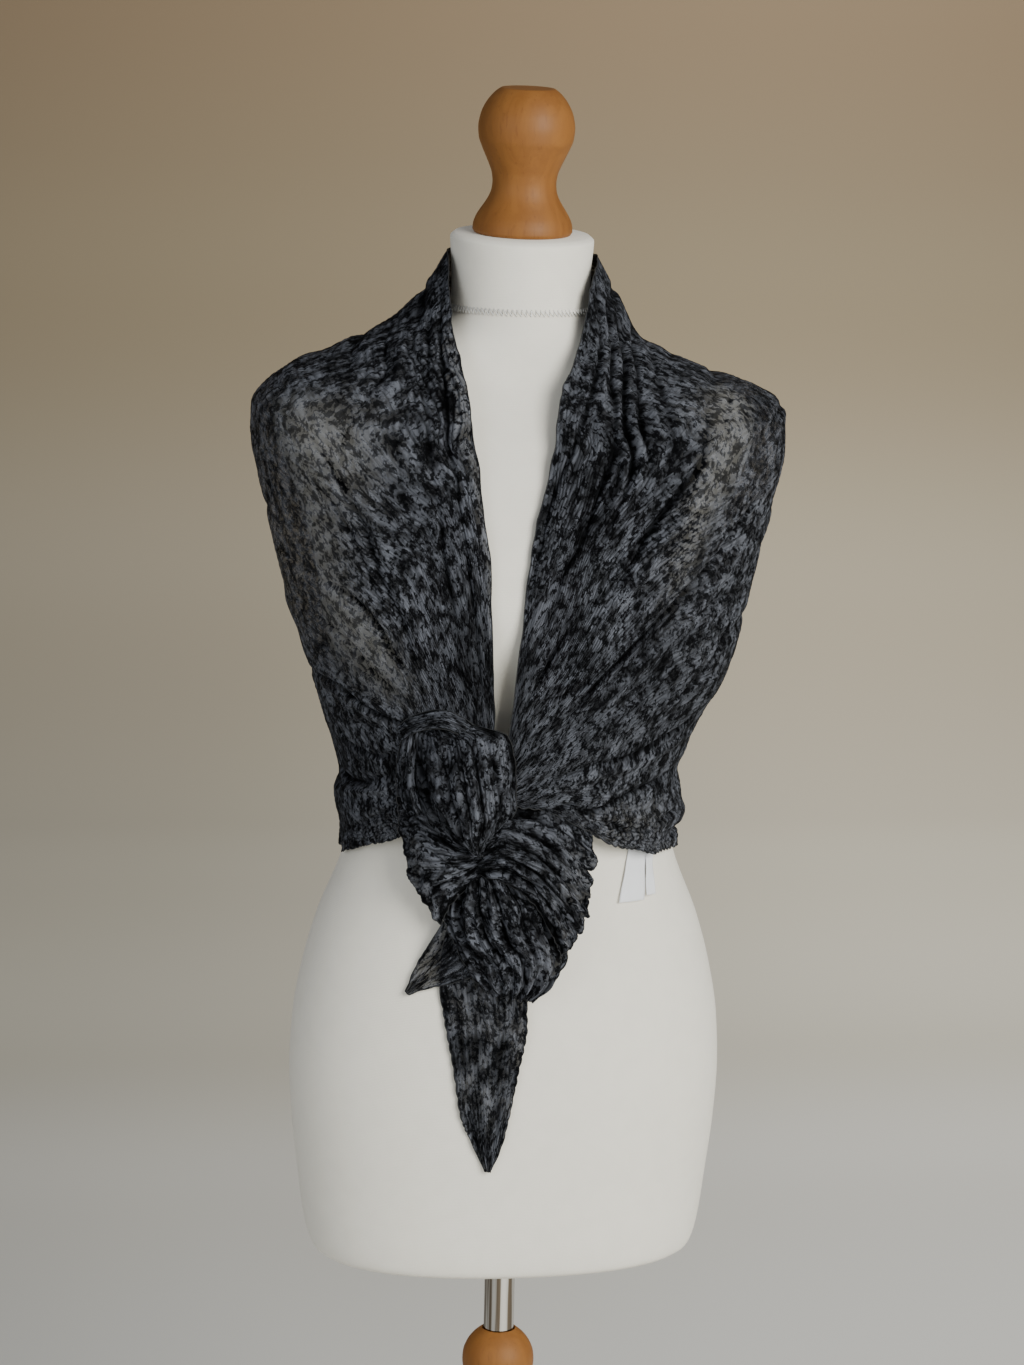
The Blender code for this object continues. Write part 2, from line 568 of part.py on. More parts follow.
def wrap_side(side, along, columns):
    """Points of one side of the wrap at places along the shawl, neckline to hem."""
    lines = LEFT_LINES if side == "left" else RIGHT_LINES
    line = read_columns(LINE_COLUMNS, lines, along)
    u, v = np.meshgrid(along, np.linspace(0.0, 1.0, columns), indexing="ij")
    angle = line["neck_angle"][:, None] * (1.0 - v) + line["hem_angle"][:, None] * v
    share = line["neck_share"][:, None] * (1.0 - v) + line["hem_share"][:, None] * v
    if side == "left":
        angle = -angle
    grid = wrap_point(angle, share)
    return grid + surface_normals(grid) * fold_relief(side, u, v)[..., None]


def make_wrap(group, seat):
    """The shawl from the knot round the back to the knot, parted at the sides of the back."""
    columns = 2 * PLEATS_ACROSS + 1
    front = np.linspace(0.0, BACK_SEAM, FRONT_STEPS + 1)
    back = np.linspace(BACK_SEAM, 1.0, BACK_STEPS + 1)[1:]
    along = np.concatenate([front, back])
    left = wrap_side("left", along, columns)
    right = wrap_side("right", along, columns)
    whole = np.concatenate([left, right[-2::-1]])
    normals = surface_normals(whole)
    way = np.gradient(whole, axis=0)
    way = way / np.linalg.norm(way, axis=-1, keepdims=True)
    last = len(whole) - 1
    stretches = (("shawl_front_left", 0, FRONT_STEPS),
                 ("shawl_back", FRONT_STEPS, last - FRONT_STEPS),
                 ("shawl_front_right", last - FRONT_STEPS, last))
    for name, start, end in stretches:
        grid = whole[start:end + 1].copy()
        if start > 0:
            grid[0] += way[start] * STRETCH_TRIM
        if end < last:
            grid[-1] -= way[end] * STRETCH_TRIM
        relief = pleat_relief(len(grid), PLEATS_ACROSS)
        cloth_wall(name, grid, normals[start:end + 1], relief, group, seat)


# ---------------------------------------------------------------- the knot and the ends
def wrap_front(x, z):
    """How far forward the worn cloth reaches at x and z (metres), near the knot."""
    rows = np.asarray(WRAP_SECTIONS, dtype=float)[::-1]
    values = smooth_table(rows[:, WRAP_COLUMNS.index("z_front")], rows, z / MM)
    row = {name: values[..., place] for place, name in enumerate(WRAP_COLUMNS)}
    side = np.clip(np.abs(x) / MM / row["left"], 0.0, 0.999)
    depth = (1.0 - side ** row["square"]) ** (1.0 / row["square"])
    return (row["middle_y"] - row["front"] * depth) * MM


def torso_front(x, z):
    """How far forward the torso's skin reaches at x and z (metres)."""
    row = read_columns(TORSO_COLUMNS, TORSO_SECTIONS, z / MM)
    side = np.clip(np.abs(x) / MM / row["half_width"], 0.0, 0.999)
    depth = (1.0 - side ** row["square"]) ** (1.0 / row["square"])
    return (row["middle_y"] - row["front"] * depth) * MM


def hanging_front(x, z):
    """The surface that the knot and the ends hang in front of."""
    return np.minimum(wrap_front(x, z), torso_front(x, z))


def row_grid(rows, steps, columns):
    """Points of a piece that fans out from its gathered root."""
    table = np.asarray(rows, dtype=float)
    middles = np.stack([(table[:, 0] + table[:, 2]) / 2.0, (table[:, 1] + table[:, 3]) / 2.0], -1)
    stations = np.concatenate([[0.0], np.cumsum(np.linalg.norm(np.diff(middles, axis=0), axis=1))])
    at = np.linspace(0.0, stations[-1], steps + 1)
    values = smooth_table(stations, table, at)
    row = {name: values[:, place][:, None] for place, name in enumerate(ROW_COLUMNS)}
    v = np.linspace(0.0, 1.0, columns)[None, :]
    swell = 4.0 * v * (1.0 - v)
    way = np.gradient(smooth_table(stations, middles, at), axis=0)
    way = way / np.linalg.norm(way, axis=1, keepdims=True)
    x = row["x_left"] * (1.0 - v) + row["x_right"] * v + way[:, :1] * row["bow"] * swell
    z = row["z_left"] * (1.0 - v) + row["z_right"] * v + way[:, 1:] * row["bow"] * swell
    lift = row["lift_left"] * (1.0 - v) + row["lift_right"] * v + row["bulge"] * swell
    y = hanging_front(x * MM, z * MM) / MM - lift
    return np.stack([x, y, z], axis=-1) * MM


def gathered_piece(name, rows, steps, pleats, ruffle, group, seat):
    """A pleated piece of the knot; ruffle deepens its pleats towards the free edge."""
    grid = row_grid(rows, steps, 2 * pleats + 1)
    relief = pleat_relief(steps + 1, pleats)
    relief = relief * (1.0 + ruffle * np.linspace(0.0, 1.0, steps + 1)[:, None] ** 2)
    return cloth_wall(name, grid, surface_normals(grid), relief, group, seat)


def make_core(group, seat):
    """The hidden turns inside the knot: between the band's inner side and the wrap."""
    grid = row_grid(KNOT_BAND, BAND_STEPS, BAND_STEPS + 1)
    inner = grid - surface_normals(grid) * (CLOTH + CORE_CLEARANCE)
    near, far = BAND_STEPS * CORE_INSET, BAND_STEPS * (1.0 - CORE_INSET)
    rows = np.linspace(near, far, CORE_ROWS).round().astype(int)
    across = np.linspace(near, far, CORE_COLUMNS).round().astype(int)
    front = inner[rows][:, across]
    rear = front.copy()
    rear[..., 1] = wrap_front(front[..., 0], front[..., 2]) - (PLEAT + CORE_STANDOFF)
    mesh = closed_between("knot_core", front, rear)
    return object_from_mesh("knot_core", mesh, group, seat, "cloth")


def make_knot(group, seat):
    make_core(group, seat)
    for piece in GATHERED:
        row = dict(zip(GATHERED_COLUMNS, piece))
        gathered_piece(row["node"], row["rows"], row["steps"], row["pleats"], row["ruffle"],
                       group, seat)


# ---------------------------------------------------------------- tapes under the hem
def make_labels(group, seat):
    for label in LABELS:
        row = dict(zip(LABEL_COLUMNS, label))
        heights = np.linspace(row["bottom"], row["top"], LABEL_STEPS)
        spread = math.degrees(row["width"] / LABEL_ARC_RADIUS) / 2.0
        left, right = row["angle"] - spread, row["angle"] + spread
        angles = np.radians(np.linspace(left, right, LABEL_STEPS))
        grid = np.stack([torso_ring(np.full(len(angles), height), angles) for height in heights])
        normals = surface_normals(grid)
        grid = grid + normals * (row["lift"] * MM + LABEL_WALL)
        plain = np.zeros(grid.shape[:2])
        cloth_wall(row["node"], grid, normals, plain, group, seat, "satin_tape", LABEL_WALL)


# ---------------------------------------------------------------- assembly
def main():
    clear_scene()
    group = new_collection("pleated_shawl_on_dress_form")
    cutters = new_collection("cutters")
    root = new_empty("form_axis", group, (0.0, FORM_AXIS_Y, 0.0))
    seat = new_empty("torso_seat", group, (0.0, 0.0, TORSO_UNDERSIDE), parent=root)
    neck_row = dict(zip(TORSO_COLUMNS, TORSO_SECTIONS[-1]))
    neck_top = (neck_row["height"] + neck_row["slope"] * neck_row["middle_y"]) * MM
    neck = new_empty("neck_top", group, (0.0, neck_row["middle_y"] * MM, neck_top + KNOB_GAP),
                     tilt=NECK_TILT, parent=seat)
    make_torso(group, cutters, seat)
    make_knob(group, neck)
    make_pole(group, root)
    make_column(group, root)
    for name, heading in (("stand_leg_front", -90.0), ("stand_leg_left", 150.0),
                          ("stand_leg_right", 30.0)):
        make_leg(name, group, root, heading)
    make_wrap(group, seat)
    make_knot(group, seat)
    make_labels(group, seat)


main()
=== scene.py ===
"""Dressed view of a pleated shawl that is knotted round a limbless dress form.

Metres, +Z up, the front looks along -Y. Heights of the form and the cloth are
measured from the flat underside of the form's torso, in millimetres in the tables.
"""

import math

import bpy
import numpy as np
from mathutils import Matrix, Vector


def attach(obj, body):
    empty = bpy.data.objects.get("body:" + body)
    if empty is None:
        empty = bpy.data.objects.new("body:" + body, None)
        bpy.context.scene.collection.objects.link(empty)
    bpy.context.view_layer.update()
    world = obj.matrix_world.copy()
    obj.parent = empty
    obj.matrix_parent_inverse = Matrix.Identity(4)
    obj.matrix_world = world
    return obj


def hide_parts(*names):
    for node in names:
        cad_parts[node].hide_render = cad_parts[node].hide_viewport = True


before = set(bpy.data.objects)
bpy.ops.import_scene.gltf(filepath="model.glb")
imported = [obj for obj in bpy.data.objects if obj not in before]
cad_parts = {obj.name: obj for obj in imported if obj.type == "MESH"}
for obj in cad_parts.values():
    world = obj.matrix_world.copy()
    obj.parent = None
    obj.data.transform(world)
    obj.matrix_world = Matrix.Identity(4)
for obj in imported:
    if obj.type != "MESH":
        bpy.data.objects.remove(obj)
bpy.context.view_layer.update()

# ---------------------------------------------------------------- shared dimensions
MM = 0.001
SEAM = 0.3 * MM
FORM_AXIS_Y = 0.0675
TORSO_UNDERSIDE = 0.572
ORIGIN = np.array([0, FORM_AXIS_Y, TORSO_UNDERSIDE])
COLUMN_TOP = 0.500
POLE_RADIUS = 0.0120
POLE_IN_TORSO = 0.055
POLE_IN_COLUMN = 0.045
NECK_TILT = 8.0                 # degrees that the neck's top leans forward
KNOB_GAP = 0.33 * MM            # room between the neck's top and the knob
LEG_REACH = 0.290
COLUMN_RADIUS_AT_LEGS = 0.031
LEG_THICKNESS = 0.026

# Rounded sections of the torso in mm; a square of 2 is an ellipse, and more is squarer.
TORSO_COLUMNS = ("height", "half_width", "front", "back", "middle_y", "square", "slope")
TORSO_SECTIONS = (
    (0, 144, 92, 97, 0, 2.3, 0), (4, 150, 95.5, 101, 0, 2.3, 0), (24, 156.3, 99.5, 106, 0, 2.25, 0),
    (65, 162, 103, 110, 0, 2.2, 0), (106, 166.7, 106, 112.5, 0, 2.2, 0),
    (147, 168.9, 107, 113, 0, 2.2, 0), (187, 166.9, 106, 111, 0, 2.2, 0),
    (227, 160.1, 103, 106, 0, 2.15, 0), (267, 149, 97.5, 98.5, 0, 2.1, 0),
    (307, 132.6, 91.5, 89, 0, 2.1, 0), (320, 128.3, 89.5, 86.5, 0, 2.1, 0),
    (350, 122.5, 87, 84.5, 0, 2.1, 0), (385, 124.5, 88.5, 85, 0, 2.1, 0),
    (420, 131, 93, 87.5, 0, 2.15, 0), (455, 138.5, 100, 92, 0, 2.2, 0),
    (490, 145, 112, 96.5, 0, 2.25, 0), (520, 150, 117.5, 100.5, 0, 2.3, 0),
    (550, 154.5, 115.5, 104, 1, 2.3, 0), (580, 163, 107.5, 105, 3, 2.35, 0),
    (610, 174, 96, 102, 6, 2.4, 0), (640, 185, 83, 96, 9, 2.4, 0), (662, 186.5, 72, 88, 11, 2.3, 0),
    (676, 168, 66, 81, 11, 2.15, 0), (688, 142, 61.5, 74, 8, 2.05, 0), (700, 107, 58, 67, 4, 2, 0),
    (712, 79, 56, 62, 1, 2, 0.02), (722, 63, 54.5, 58.5, -1, 2, 0.04),
    (732, 54.5, 53.5, 56, -2, 2, 0.06), (745, 52.8, 52.5, 54, -2, 2, 0.08),
    (768, 53.2, 52.5, 53.5, -3, 2, 0.11), (788, 54.5, 53.5, 54, -4, 2, 0.14),
    (791.5, 51, 50, 50.5, -4, 2, 0.14),
)

# Radius and height of the turned pieces, and reach and height of a leg's two lines, in mm.
KNOB_PROFILE = (
    (0, 108), (19.5, 108), (21.6, 107), (27.5, 101.6), (32.1, 94.8), (34.9, 88), (36.4, 79),
    (35.7, 71), (33.3, 64.3), (30.3, 57.6), (27.3, 51), (24.9, 44.4), (24.1, 38), (24.6, 32.5),
    (26.4, 27.2), (29.4, 21.9), (32.9, 16.6), (35.9, 11.3), (37.6, 6), (37.9, 2.5), (37, 0.8),
    (36.4, 0), (0, 0),
)
COLUMN_PROFILE = (
    (12.3, 455), (12.3, 497.8), (13.3, 499.9), (15, 498.8), (20, 494.6), (25, 488), (28, 480),
    (28.5, 474), (27.5, 466), (24, 458.5), (19, 452.5), (17.5, 446), (19, 438), (23.5, 432),
    (24.5, 427), (22, 421), (19, 414), (19.5, 400), (23, 340), (28, 265), (30, 220), (27, 192),
    (30, 180), (31, 172), (31, 100), (28, 84), (20, 74), (8, 72), (0, 72),
)
LEG_UPPER = (
    (0, 166), (30, 163), (80, 146), (130, 108), (180, 62), (222, 33), (259, 22),
)
LEG_LOWER = (
    (0, 108), (50, 106), (100, 92), (150, 56), (196, 14), (220, 0), (259, 0),
)

# Rounded sections of the wrap by their share of the way down: half widths and depths, and
# the heights of their front, sides and back (mm).
WRAP_COLUMNS = ("share", "left", "right", "front", "back", "square",
                "z_front", "z_left", "z_right", "z_back", "middle_y")
WRAP_SECTIONS = (
    (0, 55.8, 56.2, 58, 58.5, 2, 745, 778, 778, 786, -3),
    (0.07, 74, 74.5, 66.5, 70, 2, 722, 750, 748, 752, 0),
    (0.12, 95, 96, 72.5, 80, 2, 704, 727, 712.5, 728, 3),
    (0.2, 138, 138, 82, 93, 2.1, 678, 705, 695.5, 700, 6),
    (0.29, 188.5, 191, 93, 104, 2.3, 650, 680, 677, 668, 8),
    (0.34, 202.5, 208.5, 100, 109, 2.5, 628, 660, 660, 644, 8),
    (0.4, 201.5, 207.5, 108, 112, 2.5, 600, 630, 630, 612, 6),
    (0.47, 194, 198, 117, 113, 2.45, 573, 592, 592, 580, 4),
    (0.55, 184, 188, 122, 112, 2.4, 545, 550, 550, 545, 2),
    (0.63, 172.5, 179, 123, 110, 2.35, 510, 508, 508, 508, 1),
    (0.7, 162.5, 170.5, 122.5, 105, 2.3, 478, 473, 473, 473, 0),
    (0.76, 153, 161, 121, 101, 2.2, 450, 447, 447, 446, 0),
    (0.81, 146, 146.5, 119, 97.5, 2.15, 426.5, 423, 423, 423, 0),
    (0.85, 138, 137, 116, 94.5, 2.1, 404, 400, 400, 400, 0),
    (0.885, 132.8, 130.5, 113, 92, 2.1, 384, 378, 378, 378, 0),
    (0.915, 134.4, 131.5, 112, 91.5, 2.1, 369, 362, 362, 362, 0),
    (0.955, 131.8, 130.5, 110, 91, 2.1, 351, 338, 338, 338, 0),
    (1, 131.6, 132.4, 107.5, 92, 2.1, 336, 316, 316, 317, 0),
)
# Neckline and hem of each side, from the knot to the middle of the back: the angle from
# the front in degrees, and the share of the way down.
LINE_COLUMNS = ("along", "neck_angle", "neck_share", "hem_angle", "hem_share")
LEFT_LINES = (
    (0, 11, 0.82, 30, 0.93), (0.08, 10, 0.75, 36, 0.945), (0.18, 9, 0.65, 43, 0.962),
    (0.3, 8, 0.5, 52, 0.975), (0.42, 8, 0.37, 63, 0.984), (0.52, 13, 0.27, 76, 0.99),
    (0.6, 26, 0.165, 90, 1), (0.68, 44, 0.095, 106, 1), (0.76, 60, 0.05, 122, 1),
    (0.84, 86, 0.005, 139, 1), (0.92, 132, 0, 158, 1), (1, 180, 0, 180, 1),
)
RIGHT_LINES = (
    (0, -7, 0.82, -5.5, 0.914), (0.08, -5, 0.755, 3, 0.92), (0.18, -3, 0.665, 12, 0.938),
    (0.3, -1, 0.525, 24, 0.968), (0.42, 1, 0.375, 38, 0.982), (0.52, 6, 0.23, 55, 0.99),
    (0.6, 16, 0.145, 74, 0.995), (0.68, 35, 0.065, 95, 1), (0.76, 54, 0.018, 115, 1),
    (0.84, 88, 0.004, 136, 1), (0.92, 132, 0, 158, 1), (1, 180, 0, 180, 1),
)
BACK_SEAM = 0.73
FRONT_ROWS = 230                # fine rows along each front stretch
BACK_ROWS = 60                  # and along each half of the back
FINE_PLEATS = 104
SAMPLES = 4                     # points across a fine pleat
SEAM_HEIGHT = 733.0             # neck seam of the form's cover
PRINT_STRETCH = np.array([1.15, 1.0, 1.0])
EDGE_RADIUS = 0.40 * MM         # rolled edge of the cloth
HEM_SCALLOP = 0.0085            # length of a scallop of the hem
SIDE_SCALLOP = 0.0095           # and of the ends' side edges
HEM_RADIUS = 118                # the torso's radius under the hem, in mm

# Folds of each side of the wrap: place and half width across (0 neckline, 1 hem), height
# over the cloth in mm (less than 0 for a trough), and the stretch along that it runs.
FOLD_COLUMNS = ("across", "width", "height", "start", "end")
FOLDS = {
    "left": (
        (0.04, 0.03, 1.8, 0.05, 0.75), (0.22, 0.045, -2.2, 0.2, 0.72), (0.4, 0.05, 2.2, 0.18, 0.66),
        (0.62, 0.05, -2, 0.12, 0.6), (0.9, 0.045, 2.2, 0.2, 0.98),
    ),
    "right": (
        (0.05, 0.03, 2, 0.05, 0.75), (0.13, 0.025, -2.6, 0.3, 0.78), (0.2, 0.03, 3, 0.28, 0.8),
        (0.29, 0.03, -3, 0.22, 0.8), (0.38, 0.04, 2.6, 0.2, 0.78), (0.56, 0.045, -2.2, 0.1, 0.62),
        (0.7, 0.045, 2.6, 0.08, 0.6), (0.92, 0.04, 2.2, 0.25, 0.98),
    ),
}
# Sharper creases over the shoulders, at the back and right of the waist.
CREASES = {
    "right": (
        (0.06, 0.008, -2.8, 0.64, 1), (0.14, 0.016, 2.6, 0.62, 0.98),
        (0.225, 0.009, -3.4, 0.62, 0.98), (0.325, 0.01, -3, 0.6, 1), (0.49, 0.02, 2.6, 0.58, 0.96),
        (0.62, 0.012, -3, 0.56, 1), (0.86, 0.014, -2.8, 0.5, 0.98), (0.935, 0.014, 3.6, 0.46, 0.84),
        (0.965, 0.009, -3, 0.46, 0.84),
    ),
    "left": (
        (0.07, 0.008, -2.8, 0.64, 1), (0.165, 0.009, -3, 0.62, 0.98), (0.24, 0.016, 2.6, 0.62, 1),
        (0.47, 0.011, -3.4, 0.6, 0.98), (0.61, 0.02, 2.6, 0.58, 1), (0.72, 0.013, -3, 0.56, 0.96),
        (0.88, 0.016, -2.6, 0.5, 1),
    ),
}
# Creases and rolled folds of the fronts, each drawn along a line on the cloth: width and
# height in mm, and the line's points as along and across, in thousandths.
DRAWN_COLUMNS = ("width", "height", "line")
DRAWN_ROWS = 12                 # rows that a fold may reach beyond its line
DRAWN_REACH = 0.07              # and part of the cloth's depth
DRAWN_FOLDS = {
    "right": (
        (1.5, -3.2, ((790, 0), (712, 33), (622, 52), (534, 65), (460, 37), (386, 18), (308, 22),
         (234, 22))),
        (3.5, 2.4, ((786, 20), (706, 48), (616, 70), (526, 100), (466, 100), (398, 103), (318, 107))),
        (1.5, -3.6, ((782, 35), (724, 58), (638, 75), (568, 113), (508, 133), (460, 140), (410, 158),
         (318, 138), (232, 155))),
        (3, 3.4, ((784, 55), (706, 70), (596, 105), (538, 138), (506, 175), (466, 188))),
        (1.6, -4.4, ((796, 65), (726, 77), (616, 110), (554, 140), (520, 182), (478, 203),
         (430, 223))),
        (3, 3.2, ((814, 85), (688, 98), (602, 130), (554, 158), (532, 200), (504, 217))),
        (1.6, -4, ((814, 92), (702, 107), (612, 138), (560, 170), (542, 212), (512, 240))),
        (3.4, 2.8, ((814, 105), (686, 128), (614, 160), (566, 195), (540, 242))),
        (1.8, -3, ((800, 120), (670, 150), (618, 180), (574, 220), (540, 265))),
        (2, -4.2, ((758, 193), (690, 208), (628, 235), (606, 268), (568, 280), (532, 300), (490, 323),
         (450, 343), (394, 318), (294, 258))),
        (4.5, 3.6, ((680, 223), (630, 255), (604, 297), (566, 330), (524, 360), (474, 390),
         (406, 378), (334, 362))),
        (7, 3, ((672, 288), (634, 335), (600, 378), (560, 420), (516, 460), (456, 475))),
        (2, -4.4, ((770, 302), (708, 383), (660, 413), (624, 438), (568, 478), (520, 500), (464, 508),
         (398, 508), (324, 503), (242, 515), (180, 525))),
        (5, 3.4, ((718, 438), (642, 475), (578, 525), (530, 555), (464, 568), (390, 588),
         (314, 595))),
        (1.8, -2.6, ((724, 505), (666, 562), (616, 623), (572, 672), (522, 703), (470, 708))),
        (1.8, -3.2, ((318, 275), (228, 225), (140, 208), (72, 177))),
        (1.6, -2.6, ((158, 305), (218, 393), (276, 453), (348, 485), (414, 492))),
        (2, -4, ((598, 748), (604, 763), (544, 782), (476, 787), (422, 782), (288, 740), (208, 745),
         (108, 738))),
        (3.4, 3, ((644, 800), (552, 805), (478, 810), (382, 795), (270, 775), (166, 792))),
        (1.8, -3, ((610, 848), (512, 858), (430, 860), (342, 878), (244, 910), (138, 965))),
        (2.4, -3.6, ((580, 915), (536, 930), (490, 945), (406, 950), (330, 930), (224, 968))),
        (3, 2.8, ((620, 912), (562, 912), (490, 917), (412, 915), (318, 897))),
        (1.8, -2.4, ((46, 1000), (94, 980), (164, 917), (276, 828), (344, 802))),
        (2, -2.4, ((794, 250), (712, 242), (656, 247), (634, 260))),
    ),
    "left": (
        (1.5, -3.6, ((810, 3), (754, 25), (704, 25), (608, 35), (542, 45), (482, 55), (426, 80),
         (348, 92), (270, 115), (190, 110), (102, 128))),
        (3.4, 2.6, ((782, 0), (668, 5), (578, 13), (498, 13), (418, 22), (320, 15), (228, 15))),
        (1.6, -2.6, ((776, 45), (682, 48), (586, 70), (526, 83), (464, 133), (374, 195), (274, 223),
         (198, 240))),
        (1.8, -3.4, ((814, 88), (804, 113), (668, 113), (638, 135), (612, 168), (598, 230),
         (594, 270))),
        (3.4, 2.6, ((764, 60), (700, 85), (640, 103), (602, 140), (582, 180), (582, 240))),
        (1.6, -2.2, ((670, 35), (604, 77), (566, 113), (540, 155), (500, 217), (452, 300))),
        (2, -3.8, ((754, 275), (720, 275), (648, 265), (602, 273), (576, 290), (548, 323), (510, 380),
         (458, 415), (378, 448), (316, 495), (286, 560))),
        (4.5, 3.2, ((666, 242), (618, 245), (574, 258), (540, 290), (494, 345), (432, 388),
         (342, 415))),
        (1.8, -3, ((740, 360), (732, 362), (650, 330), (594, 333), (570, 352), (548, 378), (508, 420),
         (466, 465))),
        (3.4, 2.2, ((706, 330), (644, 302), (596, 300), (566, 325))),
        (2, -3.6, ((758, 508), (736, 508), (618, 500), (548, 482), (482, 490), (430, 517), (356, 517),
         (296, 515))),
        (6, 3.2, ((642, 490), (602, 503), (546, 517), (488, 540), (410, 578), (348, 608))),
        (1.6, -2.2, ((732, 330), (718, 388), (692, 485), (660, 583), (628, 660))),
        (1.8, -2.8, ((652, 565), (602, 568), (556, 568), (504, 583), (450, 603), (382, 603),
         (332, 585))),
        (2, -4.4, ((654, 700), (640, 700), (588, 685), (548, 690), (498, 695), (422, 690), (326, 655),
         (286, 640))),
        (3, 3, ((646, 718), (568, 703), (528, 710), (466, 708), (384, 695))),
        (1.8, -2.8, ((608, 760), (582, 782), (552, 797), (480, 795), (402, 772), (340, 738))),
        (2.2, -4.4, ((654, 860), (624, 858), (564, 858), (508, 855), (452, 833), (348, 802))),
        (3.6, 3.2, ((660, 893), (548, 880), (438, 858), (336, 828))),
        (1.8, -2.4, ((566, 953), (452, 930), (348, 897), (286, 853))),
    ),
}

# Rows of each gathered sheet from its root to its free edge: their ends, how far each end
# lifts off the wrap, and how far the middle bulges outward and bows along (mm).
ROW_COLUMNS = ("x_left", "z_left", "x_right", "z_right", "lift_left", "lift_right", "bulge", "bow")
BAND_ROWS = (
    (-81.3, 428.9, -53.2, 432.7, 1, 1, 3, 0), (-89.4, 419.7, -21.7, 424.4, 2, 1, 14, 0),
    (-90, 398.7, -16.8, 412.2, 4, 1, 25, 0), (-86.7, 376.2, -13.7, 390.8, 5.5, 1.5, 28, 0),
    (-79.5, 359.7, -13.9, 371.9, 7, 2.5, 25, 0), (-67.4, 345.7, -22, 356.4, 9, 6, 17, 0),
    (-52.6, 338, -33.9, 344, 12, 11, 7, 0), (-43.8, 333.1, -38.1, 335.6, 12, 12, 2, 0),
)
ROLL_ROWS = (
    (-99.3, 427.9, -96.2, 417.5, 1, 2.5, 2, 0), (-85.9, 438.5, -84.8, 426.6, 1, 8, 4, 0),
    (-70.6, 442.6, -70.6, 430.3, 1, 10, 5, 0), (-55.5, 437.9, -59, 426.9, 1, 9, 4, 0),
    (-41.5, 427.8, -46.7, 418.4, 1, 5, 2, 0),
)
LOOP_ROWS = (
    (-93.8, 423.3, -85.6, 428, 2.5, 2.4, 3, 0), (-97.2, 411, -83.6, 414.1, 2.4, 2.4, 6, 0),
    (-98.4, 393.3, -82, 393.8, 2.4, 2.4, 7.5, 0), (-97.3, 374.3, -78, 372.9, 2.8, 2.8, 7, 0),
    (-92.3, 361.3, -70.6, 356.7, 3.5, 3.5, 5, 0), (-81.7, 351.1, -61.7, 343.6, 4, 4, 3, 0),
)
FALL_ROWS = (
    (-37, 341.8, -38.1, 321.4, 8, 9, 3, 0), (-57.2, 350.5, -50.3, 307.4, 6, 10, 9, 1.5),
    (-72.3, 364.4, -60.1, 295.5, 4, 10, 14, 3.7), (-87.1, 374.2, -64.8, 285, 3, 9, 13, 6.7),
    (-97.3, 372.8, -66, 279.4, 2.6, 8, 7, 9.6),
)
SPREAD_ROWS = (
    (-45.2, 344, -41.4, 320.4, 9, 12, 2, 0), (-24.4, 370.4, -17.7, 312.7, -1, 16, 11, 1.5),
    (-3.3, 370.1, -0.5, 300, -3, 17, 13, 3), (18.1, 365.2, 12.2, 279.8, -3, 16, 12, 5.9),
    (39.2, 354.7, 22.4, 259, -1, 13, 8, 13.3),
)
DROP_ROWS = (
    (-48.7, 336.8, -27, 339.1, 5, 5, 3, 0), (-56.2, 313.6, -7.3, 315.1, 5, 6, 8, 0),
    (-63.6, 293.3, 11.2, 296.6, 4.6, 6, 11, 0), (-59.1, 272.5, 20.8, 275.1, 5.4, 6.5, 12, 0),
    (-49.6, 253.6, 28.1, 258.1, 7, 7, 11, 0), (-38.5, 237.4, 20.7, 240.2, 7.5, 7.5, 9, 1.5),
    (-25.8, 229.2, 5, 228.3, 7, 7, 5, 3),
)
CORNER_ROWS = (
    (-60.7, 287.4, -35.4, 244.6, 4.6, 5.2, 1, 0), (-67.6, 273.8, -46.9, 238.7, 4.4, 5, 1, 0),
    (-76.4, 257.5, -59.7, 233.9, 3.9, 4.3, 2, 0), (-83.4, 243.3, -71.2, 230.8, 3.5, 3.6, 1.5, 0),
    (-90.3, 226.4, -87.8, 223.7, 3, 3, 0.2, 0),
)
LONG_ROWS = (
    (-56.3, 294.5, -23.6, 295.8, 4.7, 5.7, 1.6, 0), (-63.6, 259.6, -7.9, 261.2, 3, 3.2, 1.4, 0),
    (-65.3, 231.1, -2.1, 230.5, 2.8, 3, 1.8, 0), (-61.7, 206.5, -0.8, 202.8, 2.6, 2.8, 1.8, 0),
    (-55.1, 171.8, -5.5, 172.8, 2.4, 2.6, 1.7, 0), (-48.3, 131.7, -11, 142.6, 2, 2.1, 1.4, 0),
    (-39.7, 112.2, -18.6, 106.9, 1.5, 1.5, 1.4, 0), (-29.6, 90.4, -25.5, 89.7, 1.4, 1.4, 0.3, 0),
)
